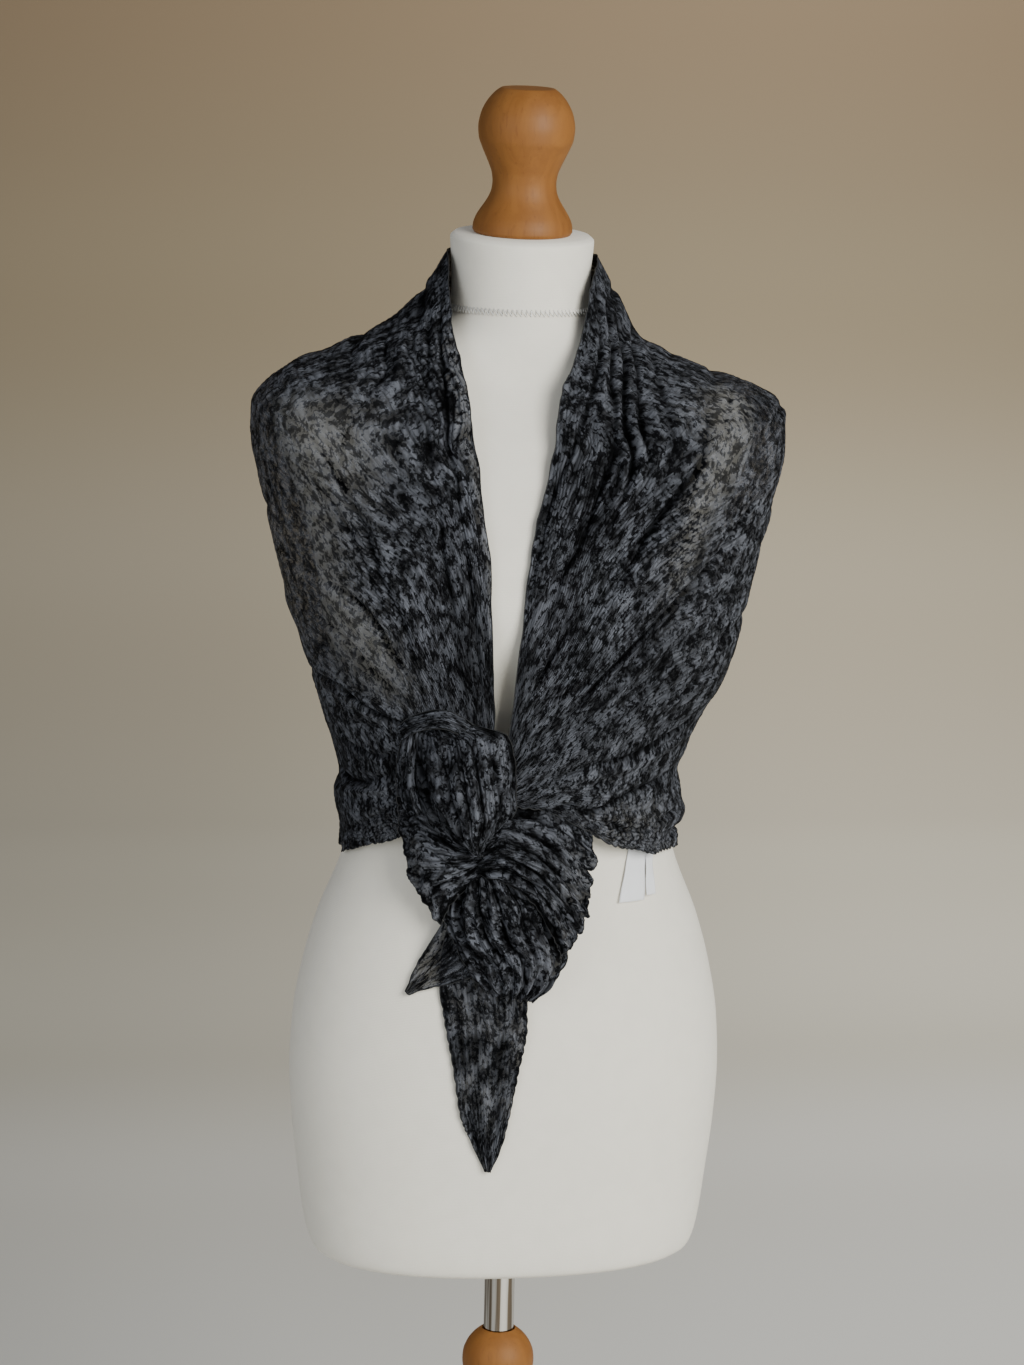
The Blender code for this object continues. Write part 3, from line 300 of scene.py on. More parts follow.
# How each gathered sheet is made. Pleats are its fine ones and waves its large ones;
# relief and wave_height in mm; wander bends the pleats; ruffle is the free edge's wave,
# and the scallops cut the free end and the two sides (mm). Crush is the height of small
# tucks (mm) and also paints shade into them; root_shade paints shade at the root, and
# side_shade darkens the sides as painted shade where a piece tucks under another and as a
# doubled hem. Flat is the size in metres.
GATHER_COLUMNS = ("piece", "rows", "nodes", "steps", "pleats", "relief", "wander", "waves",
                  "wave_height", "ruffle", "end_scallop", "side_scallop", "crush", "root_shade",
                  "side_shade", "sheer", "flat", "seed")
GATHERED = (
    ("knot_turn", BAND_ROWS, ("knot_band", "knot_core"), 100, 28, 1.2, 0.9, 5, 1.3, 0, 0, 0, 0.7,
     0.2, 0.6, 0.02, (0.085, 0.115), 21),
    ("knot_roll", ROLL_ROWS, (), 60, 9, 0.9, 0.8, 2, 0.6, 0, 0, 0, 0.3, 0.2, 0.7, 0.02,
     (0.019, 0.066), 28),
    ("knot_loop", LOOP_ROWS, ("knot_strand",), 90, 12, 1.1, 0.8, 3, 0.8, 0, 0, 0, 0.3, 0.3, 0.8,
     0.02, (0.026, 0.09), 22),
    ("knot_fall", FALL_ROWS, ("knot_lobe",), 80, 24, 1.2, 1, 6, 1.3, 0, 0, 0.6, 1.6, 0.8, 0.9,
     0.04, (0.08, 0.06), 23),
    ("fan_spread", SPREAD_ROWS, ("fan_side",), 100, 30, 1.2, 1.6, 7, 1.6, 1.2, 0.5, 1, 1.5, 0.6,
     0.7, 0.04, (0.095, 0.085), 24),
    ("fan_drop", DROP_ROWS, ("fan_lower",), 110, 28, 1.2, 1.2, 7, 1.5, 1.8, 1.8, 1, 1.3, 0.6, 0.5,
     0.05, (0.08, 0.115), 25),
    ("end_corner", CORNER_ROWS, ("tail_corner",), 70, 12, 0.8, 0.8, 3, 0.9, 0.5, 0, 0.6, 0.3, 0.3,
     0.6, 0.75, (0.035, 0.062), 26),
    ("end_long", LONG_ROWS, ("tail_long",), 200, 17, 1.3, 0.6, 5, 0.9, 0.6, 1, 0.9, 0.4, 0.2, 0.2,
     0.36, (0.056, 0.215), 27),
)
# Creases and swells of each gathered sheet: place and half width across,
# height in mm, the stretch from root to edge that it runs, its lean and its bend.
PIECE_FOLD_COLUMNS = ("across", "width", "height", "start", "end", "lean", "bend")
PIECE_FOLDS = {
    "knot_turn": (
        (0.1, 0.016, -2.6, 0.05, 0.85, 0.12, 0), (0.2, 0.05, 2.4, 0.1, 0.8, 0.12, 0),
        (0.3, 0.014, -3.2, 0.2, 0.95, 0.1, -0.22), (0.38, 0.02, 2.2, 0.22, 0.98, 0.04, -0.2),
        (0.44, 0.013, -3.2, 0.15, 1, 0.02, 0), (0.51, 0.022, 2.4, 0.2, 1, 0.03, 0),
        (0.58, 0.014, -3.4, 0.12, 1, 0.05, 0.12), (0.68, 0.03, 2.6, 0.1, 1, 0.08, 0.18),
        (0.77, 0.014, -3, 0.05, 0.95, 0.12, 0.2), (0.88, 0.03, 2.2, 0.05, 0.9, 0.1, 0),
    ),
    "knot_roll": (
        (0.5, 0.06, -1.6, 0.1, 0.9, 0.1, 0),
    ),
    "knot_loop": (
        (0.3, 0.045, -2, 0, 1, 0.1, 0), (0.5, 0.07, 1.6, 0.05, 1, 0, 0),
        (0.72, 0.045, -2, 0, 1, -0.08, 0),
    ),
    "knot_fall": (
        (0.14, 0.03, 3, 0, 0.9, 0.02, 0), (0.24, 0.018, -3.6, 0, 0.92, 0.03, 0.12),
        (0.38, 0.04, 2.8, 0, 0.95, 0.05, 0.12), (0.5, 0.018, -3.2, 0, 0.9, 0.05, 0),
        (0.62, 0.035, 2.4, 0.05, 1, 0.04, 0), (0.74, 0.018, -3, 0, 1, 0.02, 0),
        (0.88, 0.03, 2, 0.1, 1, 0, 0),
    ),
    "fan_spread": (
        (0.1, 0.02, -3.4, 0.05, 0.95, 0.03, 0), (0.18, 0.03, 3.2, 0.2, 1, 0.04, 0),
        (0.27, 0.018, -3.8, 0.1, 0.98, 0.05, 0.16), (0.36, 0.03, 3.6, 0.15, 1, 0.06, 0.2),
        (0.45, 0.018, -3.6, 0.05, 0.92, 0.04, 0.24), (0.55, 0.03, 3, 0.1, 1, 0.03, 0.2),
        (0.64, 0.016, -3.6, 0.05, 0.95, 0.02, 0.1), (0.73, 0.026, 3, 0, 0.95, 0, 0),
        (0.81, 0.016, -3.4, 0, 0.95, 0, 0), (0.9, 0.024, 2.8, 0, 1, 0, 0),
    ),
    "fan_drop": (
        (0.12, 0.018, -3, 0, 0.9, 0.03, 0.5), (0.21, 0.03, 2.8, 0.05, 0.95, 0.04, 0.5),
        (0.31, 0.016, -3.6, 0.15, 0.96, 0.08, 0.42), (0.41, 0.034, 3, 0.2, 1, 0.06, 0.3),
        (0.5, 0.016, -3.8, 0.1, 1, 0.03, 0.2), (0.6, 0.03, 3, 0.1, 1, -0.03, 0.08),
        (0.69, 0.016, -3.6, 0.05, 1, -0.05, 0), (0.8, 0.03, 2.6, 0.1, 1, -0.03, -0.12),
        (0.89, 0.018, -2.8, 0.2, 1, 0, -0.15),
    ),
    "end_corner": (
        (0.22, 0.03, -2.6, 0, 1, 0.06, 0), (0.36, 0.026, -2.8, 0, 1, 0.06, 0.1),
        (0.52, 0.026, -3, 0, 1, 0.04, 0.1), (0.66, 0.026, -2.8, 0, 1, 0.02, 0),
        (0.82, 0.03, -2.6, 0, 1, 0, 0),
    ),
    "end_long": (
        (0.16, 0.026, -1.8, 0, 0.8, 0.03, 0), (0.34, 0.03, -2, 0, 0.92, 0.03, 0),
        (0.52, 0.04, 1.8, 0, 1, 0, 0), (0.68, 0.026, -2, 0.05, 0.95, -0.04, 0),
        (0.84, 0.024, -1.6, 0.1, 0.8, -0.02, 0),
    ),
}
# Round lobes of the free edges: place and half width across, and reach in mm.
EDGE_POINTS = {
    "fan_spread": (
        (0.11, 0.15, 10.5), (0.37, 0.085, 4), (0.53, 0.07, 4.5), (0.68, 0.07, 4), (0.83, 0.075, 3),
    ),
    "fan_drop": (
        (0.86, 0.11, 4),
    ),
}

# Places where painted light makes the cloth's pleat shading paler, or painted shade makes it
# darker (amount under 0), and places where the pale form shows through the cloth (mm).
PLACE_COLUMNS = ("x", "z", "slope", "half_width", "half_height", "amount")
PAINTED_LIGHT_AND_SHADE_PLACES = (
    (-184, 570, -0.22, 34, 110, 0.42), (-172, 655, 0, 40, 26, 0.25), (160, 680, 0, 30, 14, 0.25),
    (128, 672, 0, 20, 24, 0.5), (160, 622, 0, 20, 22, 0.4), (188, 638, 0, 20, 28, 0.25),
    (30, 590, 0, 18, 52, -0.5), (30, 490, 0, 18, 34, -0.45), (-64, 672, 0, 22, 34, -0.5),
    (-92, 700, 0, 18, 20, -0.35), (-158, 450, -0.5, 16, 30, 0.45), (62, 606, 0, 24, 44, -0.4),
    (104, 560, 0.4, 26, 46, -0.35), (92, 486, 0.2, 20, 36, -0.3), (-45, 470, 0, 28, 30, -0.35),
)
SHEER_PLACES = (
    (-140, 628, 0, 46, 46, 0.58), (-163, 650, 0, 26, 24, 0.45), (-168, 555, 0.2, 28, 45, 0.45),
    (-130, 490, -0.9, 26, 36, 1), (-108, 454, -0.8, 14, 20, 0.5), (-176, 570, -0.22, 26, 110, 0.62),
    (-140, 500, -0.3, 22, 50, 0.3), (130, 588, 0.38, 19, 80, 0.8), (173, 625, 0.2, 18, 34, 0.5),
    (150, 662, 0, 34, 20, 0.35), (164, 676, 0, 26, 14, 0.35), (188, 640, 0, 16, 30, 0.35),
    (120, 470, 0, 25, 25, 0.2), (88, 356, 0, 34, 18, 0.35),
)
# How far the hem hangs lower (mm) along each side, from the knot to the back.
HEM_DROPS = (
    (0, 0, 0), (0.2, -5, 1.5), (0.24, -5, 2.7), (0.33, -4, 5.5), (0.4, -2.8, 4.5),
    (0.44, -1.5, 3.5), (0.48, 0, 4.3), (0.51, 0, 2.6), (0.56, 0, -2), (0.6, -3.5, -6.5),
    (0.66, -3.5, -6.5), (0.72, -1.5, -3), (0.8, 0, 0), (1, 0, 0),
)
LABEL_COLUMNS = ("node", "piece", "angle", "width", "top", "bottom", "lean", "lift")
LABELS = (
    ("label_care", "ribbon_wide", 45.3, 22, 334, 290, -10.5, 1.2),
    ("label_small", "ribbon_small", 51.3, 9, 334, 293, -7.5, 2.2),
)

CAMERA_ANGLES = (8.1, -9, 1.2)   # pitch down, azimuth and roll, in degrees
CAMERA_AIM = 0.447              # over the torso's underside
CAMERA_DISTANCE = 2.35
CAMERA_LENS = 80.12             # in mm, as the sensor's width
CAMERA_SENSOR = 36
# Tones of the backdrop by the distance back and up along it, darkening with painted shade,
# and the factor of painted side light on them at the left and the right of the wall.
BACKDROP_TONES_AND_SHADE = (
    (1.2, (0.86, 0.845, 0.785)), (2, (0.74, 0.714, 0.64)), (2.8, (0.539, 0.503, 0.41)),
    (4.2, (0.436, 0.401, 0.318)), (6.3, (0.343, 0.296, 0.215)), (7.6, (0.249, 0.197, 0.123)),
    (8.5, (0.212, 0.151, 0.087)),
)
PAINTED_SIDE_LIGHT = (0.8, 1.18)


# In the functions below s is the distance along a sheet in metres, t or u is the share of
# the way along it, and v is the share across.

# ---------------------------------------------------------------- tables and noise
class Row:
    """One row of a table, with each value under the name of its column."""

    def __init__(self, names, values):
        for name, value in zip(names, values):
            setattr(self, name, value)


def rows_of(names, table):
    return [Row(names, values) for values in table]


def smooth_table(stations, values, at):
    """Read columns of a table at any station, with no overshoot between its rows."""
    stations = np.asarray(stations, dtype=float)
    values = np.asarray(values, dtype=float)
    at = np.clip(np.asarray(at, dtype=float), stations[0], stations[-1])
    steps = np.diff(stations)
    slopes = np.diff(values, axis=0) / steps[:, None]
    before, after = slopes[:-1], slopes[1:]
    same_way = before * after > 0
    total = np.where(same_way, before + after, 1)
    inner = np.where(same_way, 2 * before * after / total, 0)
    tangents = np.concatenate([slopes[:1], inner, slopes[-1:]])
    row = np.clip(np.searchsorted(stations, at, side="right") - 1, 0, len(steps) - 1)
    width = steps[row][..., None]
    part = ((at - stations[row]) / steps[row])[..., None]
    start = (2 * part ** 3 - 3 * part ** 2 + 1) * values[row]
    start_slope = (part ** 3 - 2 * part ** 2 + part) * width * tangents[row]
    end = (3 * part ** 2 - 2 * part ** 3) * values[row + 1]
    end_slope = (part ** 3 - part ** 2) * width * tangents[row + 1]
    return start + start_slope + end + end_slope


def read_columns(names, rows, at):
    rows = np.asarray(rows, dtype=float)
    values = smooth_table(rows[:, 0], rows[:, 1:], at)
    return Row(names[1:], np.moveaxis(values, -1, 0))


def between(first, second, part):
    return first * (1 - part) + second * part


def eased(part):
    return part * part * (3 - 2 * part)


def blend_in(value, low, high):
    return eased(np.clip((value - low) / (high - low), 0, 1))


def soft_noise(u, v, seed):
    """Smooth noise from -1 to 1 over two coordinates."""
    cells = 64
    lattice = np.random.default_rng(seed).uniform(-1, 1, (cells, cells))
    u, v = np.broadcast_arrays(u, v)
    row, column = np.floor(u).astype(int), np.floor(v).astype(int)
    part_u, part_v = eased(u - row), eased(v - column)
    row_after, column_after = (row + 1) % cells, (column + 1) % cells
    row, column = row % cells, column % cells
    low = between(lattice[row, column], lattice[row_after, column], part_u)
    high = between(lattice[row, column_after], lattice[row_after, column_after], part_u)
    return between(low, high, part_v)


def unit(vectors):
    """Vectors of length one along the last axis. A zero vector stays zero."""
    return vectors / np.maximum(np.linalg.norm(vectors, axis=-1, keepdims=True), 1e-12)


def distances(points):
    """Distance walked along a line of points."""
    steps = np.linalg.norm(np.diff(points, axis=0), axis=1)
    return np.concatenate([[0], np.cumsum(steps)])


# ---------------------------------------------------------------- surfaces
def section_point(row, half, across, ahead):
    """Point of a rounded section (mm) at the sine and cosine of its angle from the front."""
    power = 2 / row.square
    depth = np.where(ahead > 0, -row.front, row.back)
    x = half * np.sign(across) * np.abs(across) ** power
    return x, depth * np.abs(ahead) ** power + row.middle_y


def section_front(row, half, x):
    """Front of a rounded section, at x in metres."""
    side = np.clip(np.abs(x) / MM / half, 0, 0.999)
    depth = (1 - side ** row.square) ** (1 / row.square)
    return (row.middle_y - row.front * depth) * MM


def torso_ring(height, angles):
    row = read_columns(TORSO_COLUMNS, TORSO_SECTIONS, height)
    x, y = section_point(row, row.half_width, np.sin(angles), np.cos(angles))
    return np.stack([x, y, height + row.slope * y], axis=-1) * MM


def torso_front(x, z):
    row = read_columns(TORSO_COLUMNS, TORSO_SECTIONS, z / MM)
    return section_front(row, row.half_width, x)


def wrap_point(angle, share):
    row = read_columns(WRAP_COLUMNS, WRAP_SECTIONS, share)
    turn = np.radians(angle)
    across, ahead = np.sin(turn), np.cos(turn)
    x, y = section_point(row, np.where(across < 0, row.left, row.right), across, ahead)
    side = np.where(across < 0, row.z_left, row.z_right)
    z = (side + (row.z_front - side) * np.clip(ahead, 0, 1) ** 2
         + (row.z_back - side) * np.clip(-ahead, 0, 1) ** 2)
    return np.stack([x, y, z], axis=-1) * MM


def wrap_front(x, z):
    rows = np.asarray(WRAP_SECTIONS, dtype=float)[::-1]
    values = smooth_table(rows[:, WRAP_COLUMNS.index("z_front")], rows, z / MM)
    row = Row(WRAP_COLUMNS, np.moveaxis(values, -1, 0))
    return section_front(row, row.left, x)


def surface_normals(grid):
    normals = unit(np.cross(np.gradient(grid, axis=0), np.gradient(grid, axis=1)))
    return normals * np.sign(np.sum(normals * grid * np.array([1, 1, 0])))


def rise_and_fall(row, along):
    """From 0 at a fold's start to 1 at its middle and 0 at its end."""
    middle, reach = (row.start + row.end) / 2, (row.end - row.start) / 2
    return np.sin(np.clip(1 - np.abs(along - middle) / reach, 0, 1) * math.pi / 2)


def fold_relief(folds, along, across):
    total = np.zeros(np.broadcast(along, across).shape)
    for row in rows_of(FOLD_COLUMNS, folds):
        run = rise_and_fall(row, along) ** 2
        total += row.height * MM * run * np.exp(-((across - row.across) / row.width) ** 2)
    return total


def grid_points(grid, rows, columns):
    """Points between the corners of a grid, at fractional rows and columns."""
    row = np.clip(np.floor(rows).astype(int), 0, grid.shape[0] - 2)
    column = np.clip(np.floor(columns).astype(int), 0, grid.shape[1] - 2)
    down, over = (rows - row)[:, None], (columns - column)[:, None]
    near = between(grid[row, column], grid[row, column + 1], over)
    far = between(grid[row + 1, column], grid[row + 1, column + 1], over)
    return between(near, far, down)


def drawn_relief(side, along, grid):
    """Height of the drawn folds in metres, from the distance to each fold's line."""
    columns = grid.shape[1]
    total = np.zeros(grid.shape[:2])
    first_number = 0 if side == "right" else len(DRAWN_FOLDS["right"])
    for number, row in enumerate(rows_of(DRAWN_COLUMNS, DRAWN_FOLDS[side]), first_number):
        knots = np.asarray(row.line) / 1000
        steps = 4 * (len(knots) - 1)
        at = np.linspace(0, len(knots) - 1, steps + 1)
        path = smooth_table(np.arange(len(knots)), knots, at)
        rows = np.interp(path[:, 0], along, np.arange(len(along)))
        line = grid_points(grid, rows, path[:, 1] * (columns - 1))
        top = int(max(rows.min() - DRAWN_ROWS, 0))
        bottom = int(min(rows.max() + DRAWN_ROWS + 1, len(along)))
        left = int(max((path[:, 1].min() - DRAWN_REACH) * columns, 0))
        right = int(min((path[:, 1].max() + DRAWN_REACH) * columns, columns))
        part = grid[top:bottom, left:right]
        near = np.ones(part.shape[:2])
        place = np.zeros(part.shape[:2])
        for step in range(steps):
            way = line[step + 1] - line[step]
            share = np.clip((part - line[step]) @ way / max(float(way @ way), 1e-12), 0, 1)
            gap = np.linalg.norm(part - line[step] - share[..., None] * way, axis=-1)
            closer = gap < near
            near = np.where(closer, gap, near)
            place = np.where(closer, (step + share) / steps, place)
        run = np.sin(math.pi * place) ** 0.6 * (0.85 + 0.35 * soft_noise(place * 9, number, 8))
        total[top:bottom, left:right] += (row.height * MM * run
                                          * np.exp(-(near / (row.width * MM)) ** 2))
    return total


def wrap_side(side, along, columns):
    """One half of the draped cloth, and the depth of its sharp creases in mm."""
    lines = LEFT_LINES if side == "left" else RIGHT_LINES
    line = read_columns(LINE_COLUMNS, lines, along[:, None])
    u, v = np.meshgrid(along, np.linspace(0, 1, columns), indexing="ij")
    angle = between(line.neck_angle, line.hem_angle, v)
    if side == "left":
        angle = -angle
    grid = wrap_point(angle, between(line.neck_share, line.hem_share, v))
    wander = 0.008 * soft_noise(u * 9, v * 3, 5) + 0.004 * soft_noise(u * 30, v * 8, 6)
    creases = fold_relief(CREASES[side], u, v + wander) + drawn_relief(side, along, grid)
    relief = fold_relief(FOLDS[side], u, v) + creases
    return grid + surface_normals(grid) * relief[..., None], creases / MM


def row_grid(rows, steps, columns):
    """Points of a piece that fans out from its gathered root, and its directions along."""
    table = np.asarray(rows, dtype=float)
    middles = (table[:, :2] + table[:, 2:4]) / 2
    stations = distances(middles)
    at = np.linspace(0, stations[-1], steps + 1)
    row = Row(ROW_COLUMNS, smooth_table(stations, table, at).T[..., None])
    v = np.linspace(0, 1, columns)[None, :]
    swell = 4 * v * (1 - v)
    way = unit(np.gradient(smooth_table(stations, middles, at), axis=0))
    x = between(row.x_left, row.x_right, v) + way[:, :1] * row.bow * swell
    z = between(row.z_left, row.z_right, v) + way[:, 1:] * row.bow * swell
    lift = between(row.lift_left, row.lift_right, v) + row.bulge * swell
    y = np.minimum(wrap_front(x * MM, z * MM), torso_front(x * MM, z * MM)) / MM - lift
    return np.stack([x, y, z], axis=-1) * MM, way


# ---------------------------------------------------------------- meshes
def put(name, data):
    item = bpy.data.objects.new(name, data)
    bpy.context.scene.collection.objects.link(item)
    return item


def put_mesh(name, points, faces, material):
    mesh = bpy.data.meshes.new(name)
    mesh.from_pydata(points, [], faces)
    mesh.validate()
    mesh.materials.append(material)
    mesh.shade_smooth()
    return put(name, mesh)


def add_piece(name, points, faces, material, local=True):
    """A piece from points and faces; local points are measured from the torso's underside."""
    points = np.asarray(points, dtype=float).reshape(-1, 3)
    if local:
        points = points + ORIGIN
    item = put_mesh(name, points.tolist(), faces, material)
    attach(item, "root")
    return item


def grid_faces(rows, columns, closed_rows=False, first=0):
    faces = []
    last = columns if closed_rows else columns - 1
    for row in range(rows - 1):
        low, high = first + row * columns, first + (row + 1) * columns
        for column in range(last):
            after = (column + 1) % columns
            faces.append((low + column, low + after, high + after, high + column))
    return faces


def set_cloth_data(item, ridge_and_shade, jag, sheer, place):
    """Values that the cloth's material reads: pleat height with painted shade, print shift and
    sheerness, and place.
    """
    for name, data in (("cloth_data", np.stack([ridge_and_shade, jag, sheer], axis=-1)),
                       ("cloth_place", place)):
        layer = item.data.attributes.new(name, "FLOAT_VECTOR", "POINT")
        layer.data.foreach_set("vector", data.reshape(-1).astype(np.float32))


def cloth_place(grid, s, v, full_width, layer):
    """Where each point lies in the unfolded cloth: along, across, and a layer number."""
    across = np.linalg.norm(np.diff(grid, axis=1), axis=-1).sum(axis=1)[:, None]
    width = np.sqrt(across * full_width)
    place = np.stack(np.broadcast_arrays(s, (v - 0.5) * width, layer * 0.37), axis=-1)
    return place * PRINT_STRETCH


def pleat_pattern(s, v, count, wander, seed):
    """Pleat height from 0 to 1, which the material also turns into painted shade and light, and print
    shift of crinkled pleats; s is metres along.
    """
    phase = v * count
    phase = phase + wander * soft_noise(s * 24, v * count / 6, seed)
    phase = phase + 0.45 * wander * soft_noise(s * 95, v * count / 2, seed + 1)
    ridge_and_shade = np.sin(np.pi * (phase - np.floor(phase)))
    strength = 0.62 + 0.38 * soft_noise(s * 60, v * count / 1.6, seed + 2)
    strength = strength * (0.85 + 0.45 * soft_noise(s * 9, v * count / 20, seed + 4))
    jag = soft_noise(np.floor(phase) * 0.73 + 11, np.floor(phase) * 0.31, seed + 3)
    return ridge_and_shade * strength, jag


def edge_tube(name, lines, radius, material):
    """A fine rolled edge along lines of points."""
    sides = 6
    turn = np.arange(sides)[None, :, None] * 2 * math.pi / sides
    points, faces = [], []
    for line in lines:
        way = unit(np.gradient(line, axis=0))
        helper = np.where(np.abs(way[:, 2:]) > 0.8, [[0, 1, 0]], [[0, 0, 1]])
        first = unit(np.cross(way, helper))[:, None, :]
        second = np.cross(way[:, None, :], first)
        ring = line[:, None, :] + radius * (np.cos(turn) * first + np.sin(turn) * second)
        faces += grid_faces(len(line), sides, True, sum(len(p) for p in points))
        points.append(ring.reshape(-1, 3))
    return add_piece(name, np.concatenate(points), faces, material)


# ---------------------------------------------------------------- materials
class Nodes:
    """Short hand for building a material's nodes."""

    def __init__(self, name):
        self.material = bpy.data.materials.new(name)
        self.material.use_nodes = True
        self.tree = self.material.node_tree
        self.shader = self.tree.nodes["Principled BSDF"]

    def wire(self, value, socket):
        if isinstance(value, tuple) and len(value) == 3 and socket.type == "RGBA":
            socket.default_value = value + (1.0,)
        elif isinstance(value, (int, float, tuple)):
            socket.default_value = value
        else:
            self.tree.links.new(value, socket)

    def add(self, kind, inputs, output=0, **settings):
        """A new node with its settings and inputs. Gives the named or numbered output."""
        node = self.tree.nodes.new(kind)
        for key, value in settings.items():
            setattr(node, key, value)
        for key, value in inputs.items():
            self.wire(value, node.inputs[key])
        return node.outputs[output]

    def apart(self, vector):
        node = self.tree.nodes.new("ShaderNodeSeparateXYZ")
        self.wire(vector, node.inputs[0])
        return node.outputs

    def attribute(self, name, output):
        return self.add("ShaderNodeAttribute", {}, output, attribute_name=name)

    def place(self):
        return self.add("ShaderNodeTexCoord", {}, "Object")

    def math(self, operation, first, second, clamp=False):
        return self.add("ShaderNodeMath", {0: first, 1: second}, operation=operation,
                        use_clamp=clamp)

    def plus(self, first, second, clamp=False):
        return self.math("ADD", first, second, clamp)

    def minus(self, first, second):
        return self.math("SUBTRACT", first, second)

    def times(self, first, second):
        return self.math("MULTIPLY", first, second)

    def noise(self, vector, scale, detail=3, roughness=0.5, distortion=0):
        inputs = {"Vector": vector, "Scale": scale, "Detail": detail, "Roughness": roughness,
                  "Distortion": distortion}
        return self.add("ShaderNodeTexNoise", inputs, "Fac")

    def bands(self, vector, direction, scale, distortion):
        inputs = {"Vector": vector, "Scale": scale, "Distortion": distortion}
        return self.add("ShaderNodeTexWave", inputs, "Fac", wave_type="BANDS",
                        bands_direction=direction)

    def spread(self, value, low, high, out_low=0, out_high=1):
        inputs = {"Value": value, "From Min": low, "From Max": high, "To Min": out_low,
                  "To Max": out_high}
        return self.add("ShaderNodeMapRange", inputs, "Result", interpolation_type="SMOOTHSTEP")

    def mix(self, factor, first, second, blend="MIX"):
        inputs = {"Factor": factor, "A": first, "B": second}
        return self.add("ShaderNodeMix", inputs, "Result", data_type="RGBA", blend_type=blend)

    def shaded(self, tone, share):
        """A tone multiplied by a grey share."""
        shade = self.add("ShaderNodeCombineColor", {0: share, 1: share, 2: share})
        return self.mix(1.0, tone, shade, "MULTIPLY")

    def vectors(self, operation, first, second):
        return self.add("ShaderNodeVectorMath", {0: first, 1: second}, operation=operation)

    def bump(self, height, strength, distance):
        inputs = {"Height": height, "Strength": strength, "Distance": distance}
        self.wire(self.add("ShaderNodeBump", inputs), self.shader.inputs["Normal"])

    def set(self, **values):
        for key, value in values.items():
            self.wire(value, self.shader.inputs[key.replace("_", " ")])


INK = (0.0018, 0.0019, 0.0024)
CHARCOAL = (0.0160, 0.0165, 0.0185)
SLATE = (0.043, 0.045, 0.052)
PALE_SLATE = (0.106, 0.112, 0.131)


def chiffon_material():
    """Sheer crinkled chiffon: grey patches and black flecks of print, with painted shade in the pleat
    valleys and along fine crinkle lines, and painted light on the ridges.
    """
    n = Nodes("pleated_chiffon_dressed")
    ridge_and_shade, jag, sheer = n.apart(n.attribute("cloth_data", "Vector"))
    unfolded = n.attribute("cloth_place", "Vector")
    shift = n.add("ShaderNodeCombineXYZ", {0: n.times(jag, 0.004)})
    vector = n.vectors("ADD", unfolded, shift)
    crinkle_shade_lines = n.noise(n.vectors("MULTIPLY", unfolded, (0.05, 1, 1)), 520, 3, 0.6)
    patches = n.noise(vector, 74, 4, 0.66, 0.3)
    flecks = n.noise(vector, 205, 3, 0.62, 0.4)
    specks = n.noise(vector, 560, 3, 0.6, 0.2)
    tone = n.mix(n.spread(patches, 0.38, 0.5), CHARCOAL, SLATE)
    tone = n.mix(n.spread(patches, 0.45, 0.62), tone, PALE_SLATE)
    black = n.plus(flecks, n.times(n.minus(patches, 0.5), -0.35))
    black = n.plus(black, n.times(n.minus(specks, 0.5), 0.3))
    depth = n.minus(0.95, n.times(sheer, 0.3))
    tone = n.mix(n.times(n.spread(black, 0.508, 0.546), depth), tone, INK)
    tone = n.mix(n.spread(specks, 0.56, 0.68, 0, 0.45), tone, SLATE)
    # Painted shade in the pleat valleys and painted light on the ridge tops, from the pleat height
    # and the painted shade added to it.
    tone = n.shaded(tone, n.spread(ridge_and_shade, -0.5, 0.8, 0.08, 1.2))
    # Painted shade: fine dark lines of the crinkles along the pleats.
    tone = n.mix(n.spread(crinkle_shade_lines, 0.38, 0.5, 0.45, 0), tone, INK)
    cover = n.plus(n.spread(black, 0.47, 0.53, 0.97, 1),
                   n.times(sheer, n.spread(black, 0.46, 0.54, -0.48, -0.12)))
    cover = n.plus(cover, n.spread(ridge_and_shade, 0, 0.45, 0.12, 0), clamp=True)
    n.set(Base_Color=tone, Alpha=cover, Roughness=0.75, Specular_IOR_Level=0.03)
    weave = n.noise(n.place(), 1600, 2)
    n.bump(n.plus(weave, n.times(specks, 0.9)), 0.45, 0.0007)
    return n.material


def thread_material(name, first, second, scales, details, strength, distance):
    """Matt thread between two tones. The scales and details are of the tone and the bump."""
    n = Nodes(name)
    n.set(Base_Color=n.mix(n.noise(n.place(), scales[0], details[0]), first, second),
          Roughness=0.7)
    n.bump(n.noise(n.place(), scales[1], details[1]), strength, distance)
    return n.material


def jersey_material():
    """Off-white knitted cover of the form."""
    n = Nodes("form_jersey_dressed")
    place = n.place()
    tone = n.mix(n.noise(place, 9, 4, 0.6), (0.848, 0.808, 0.71), (0.892, 0.852, 0.757))
    tone = n.mix(n.spread(n.noise(place, 60), 0.35, 0.7, 0, 0.25), tone, (0.786, 0.746, 0.657))
    # A warm painted shade band along the neck seam, under the stitches.
    seam_shade = n.times(n.attribute("seam_ground", "Fac"), 0.22)
    n.set(Base_Color=n.mix(seam_shade, tone, (0.47, 0.41, 0.32)), Roughness=0.85,
          Sheen_Weight=0.12, Specular_IOR_Level=0.25)
    wales = n.bands(place, "Z", 260, 1.5)
    n.bump(n.plus(n.times(wales, 0.4), n.noise(place, 900, 2)), 0.25, 0.0004)
    return n.material


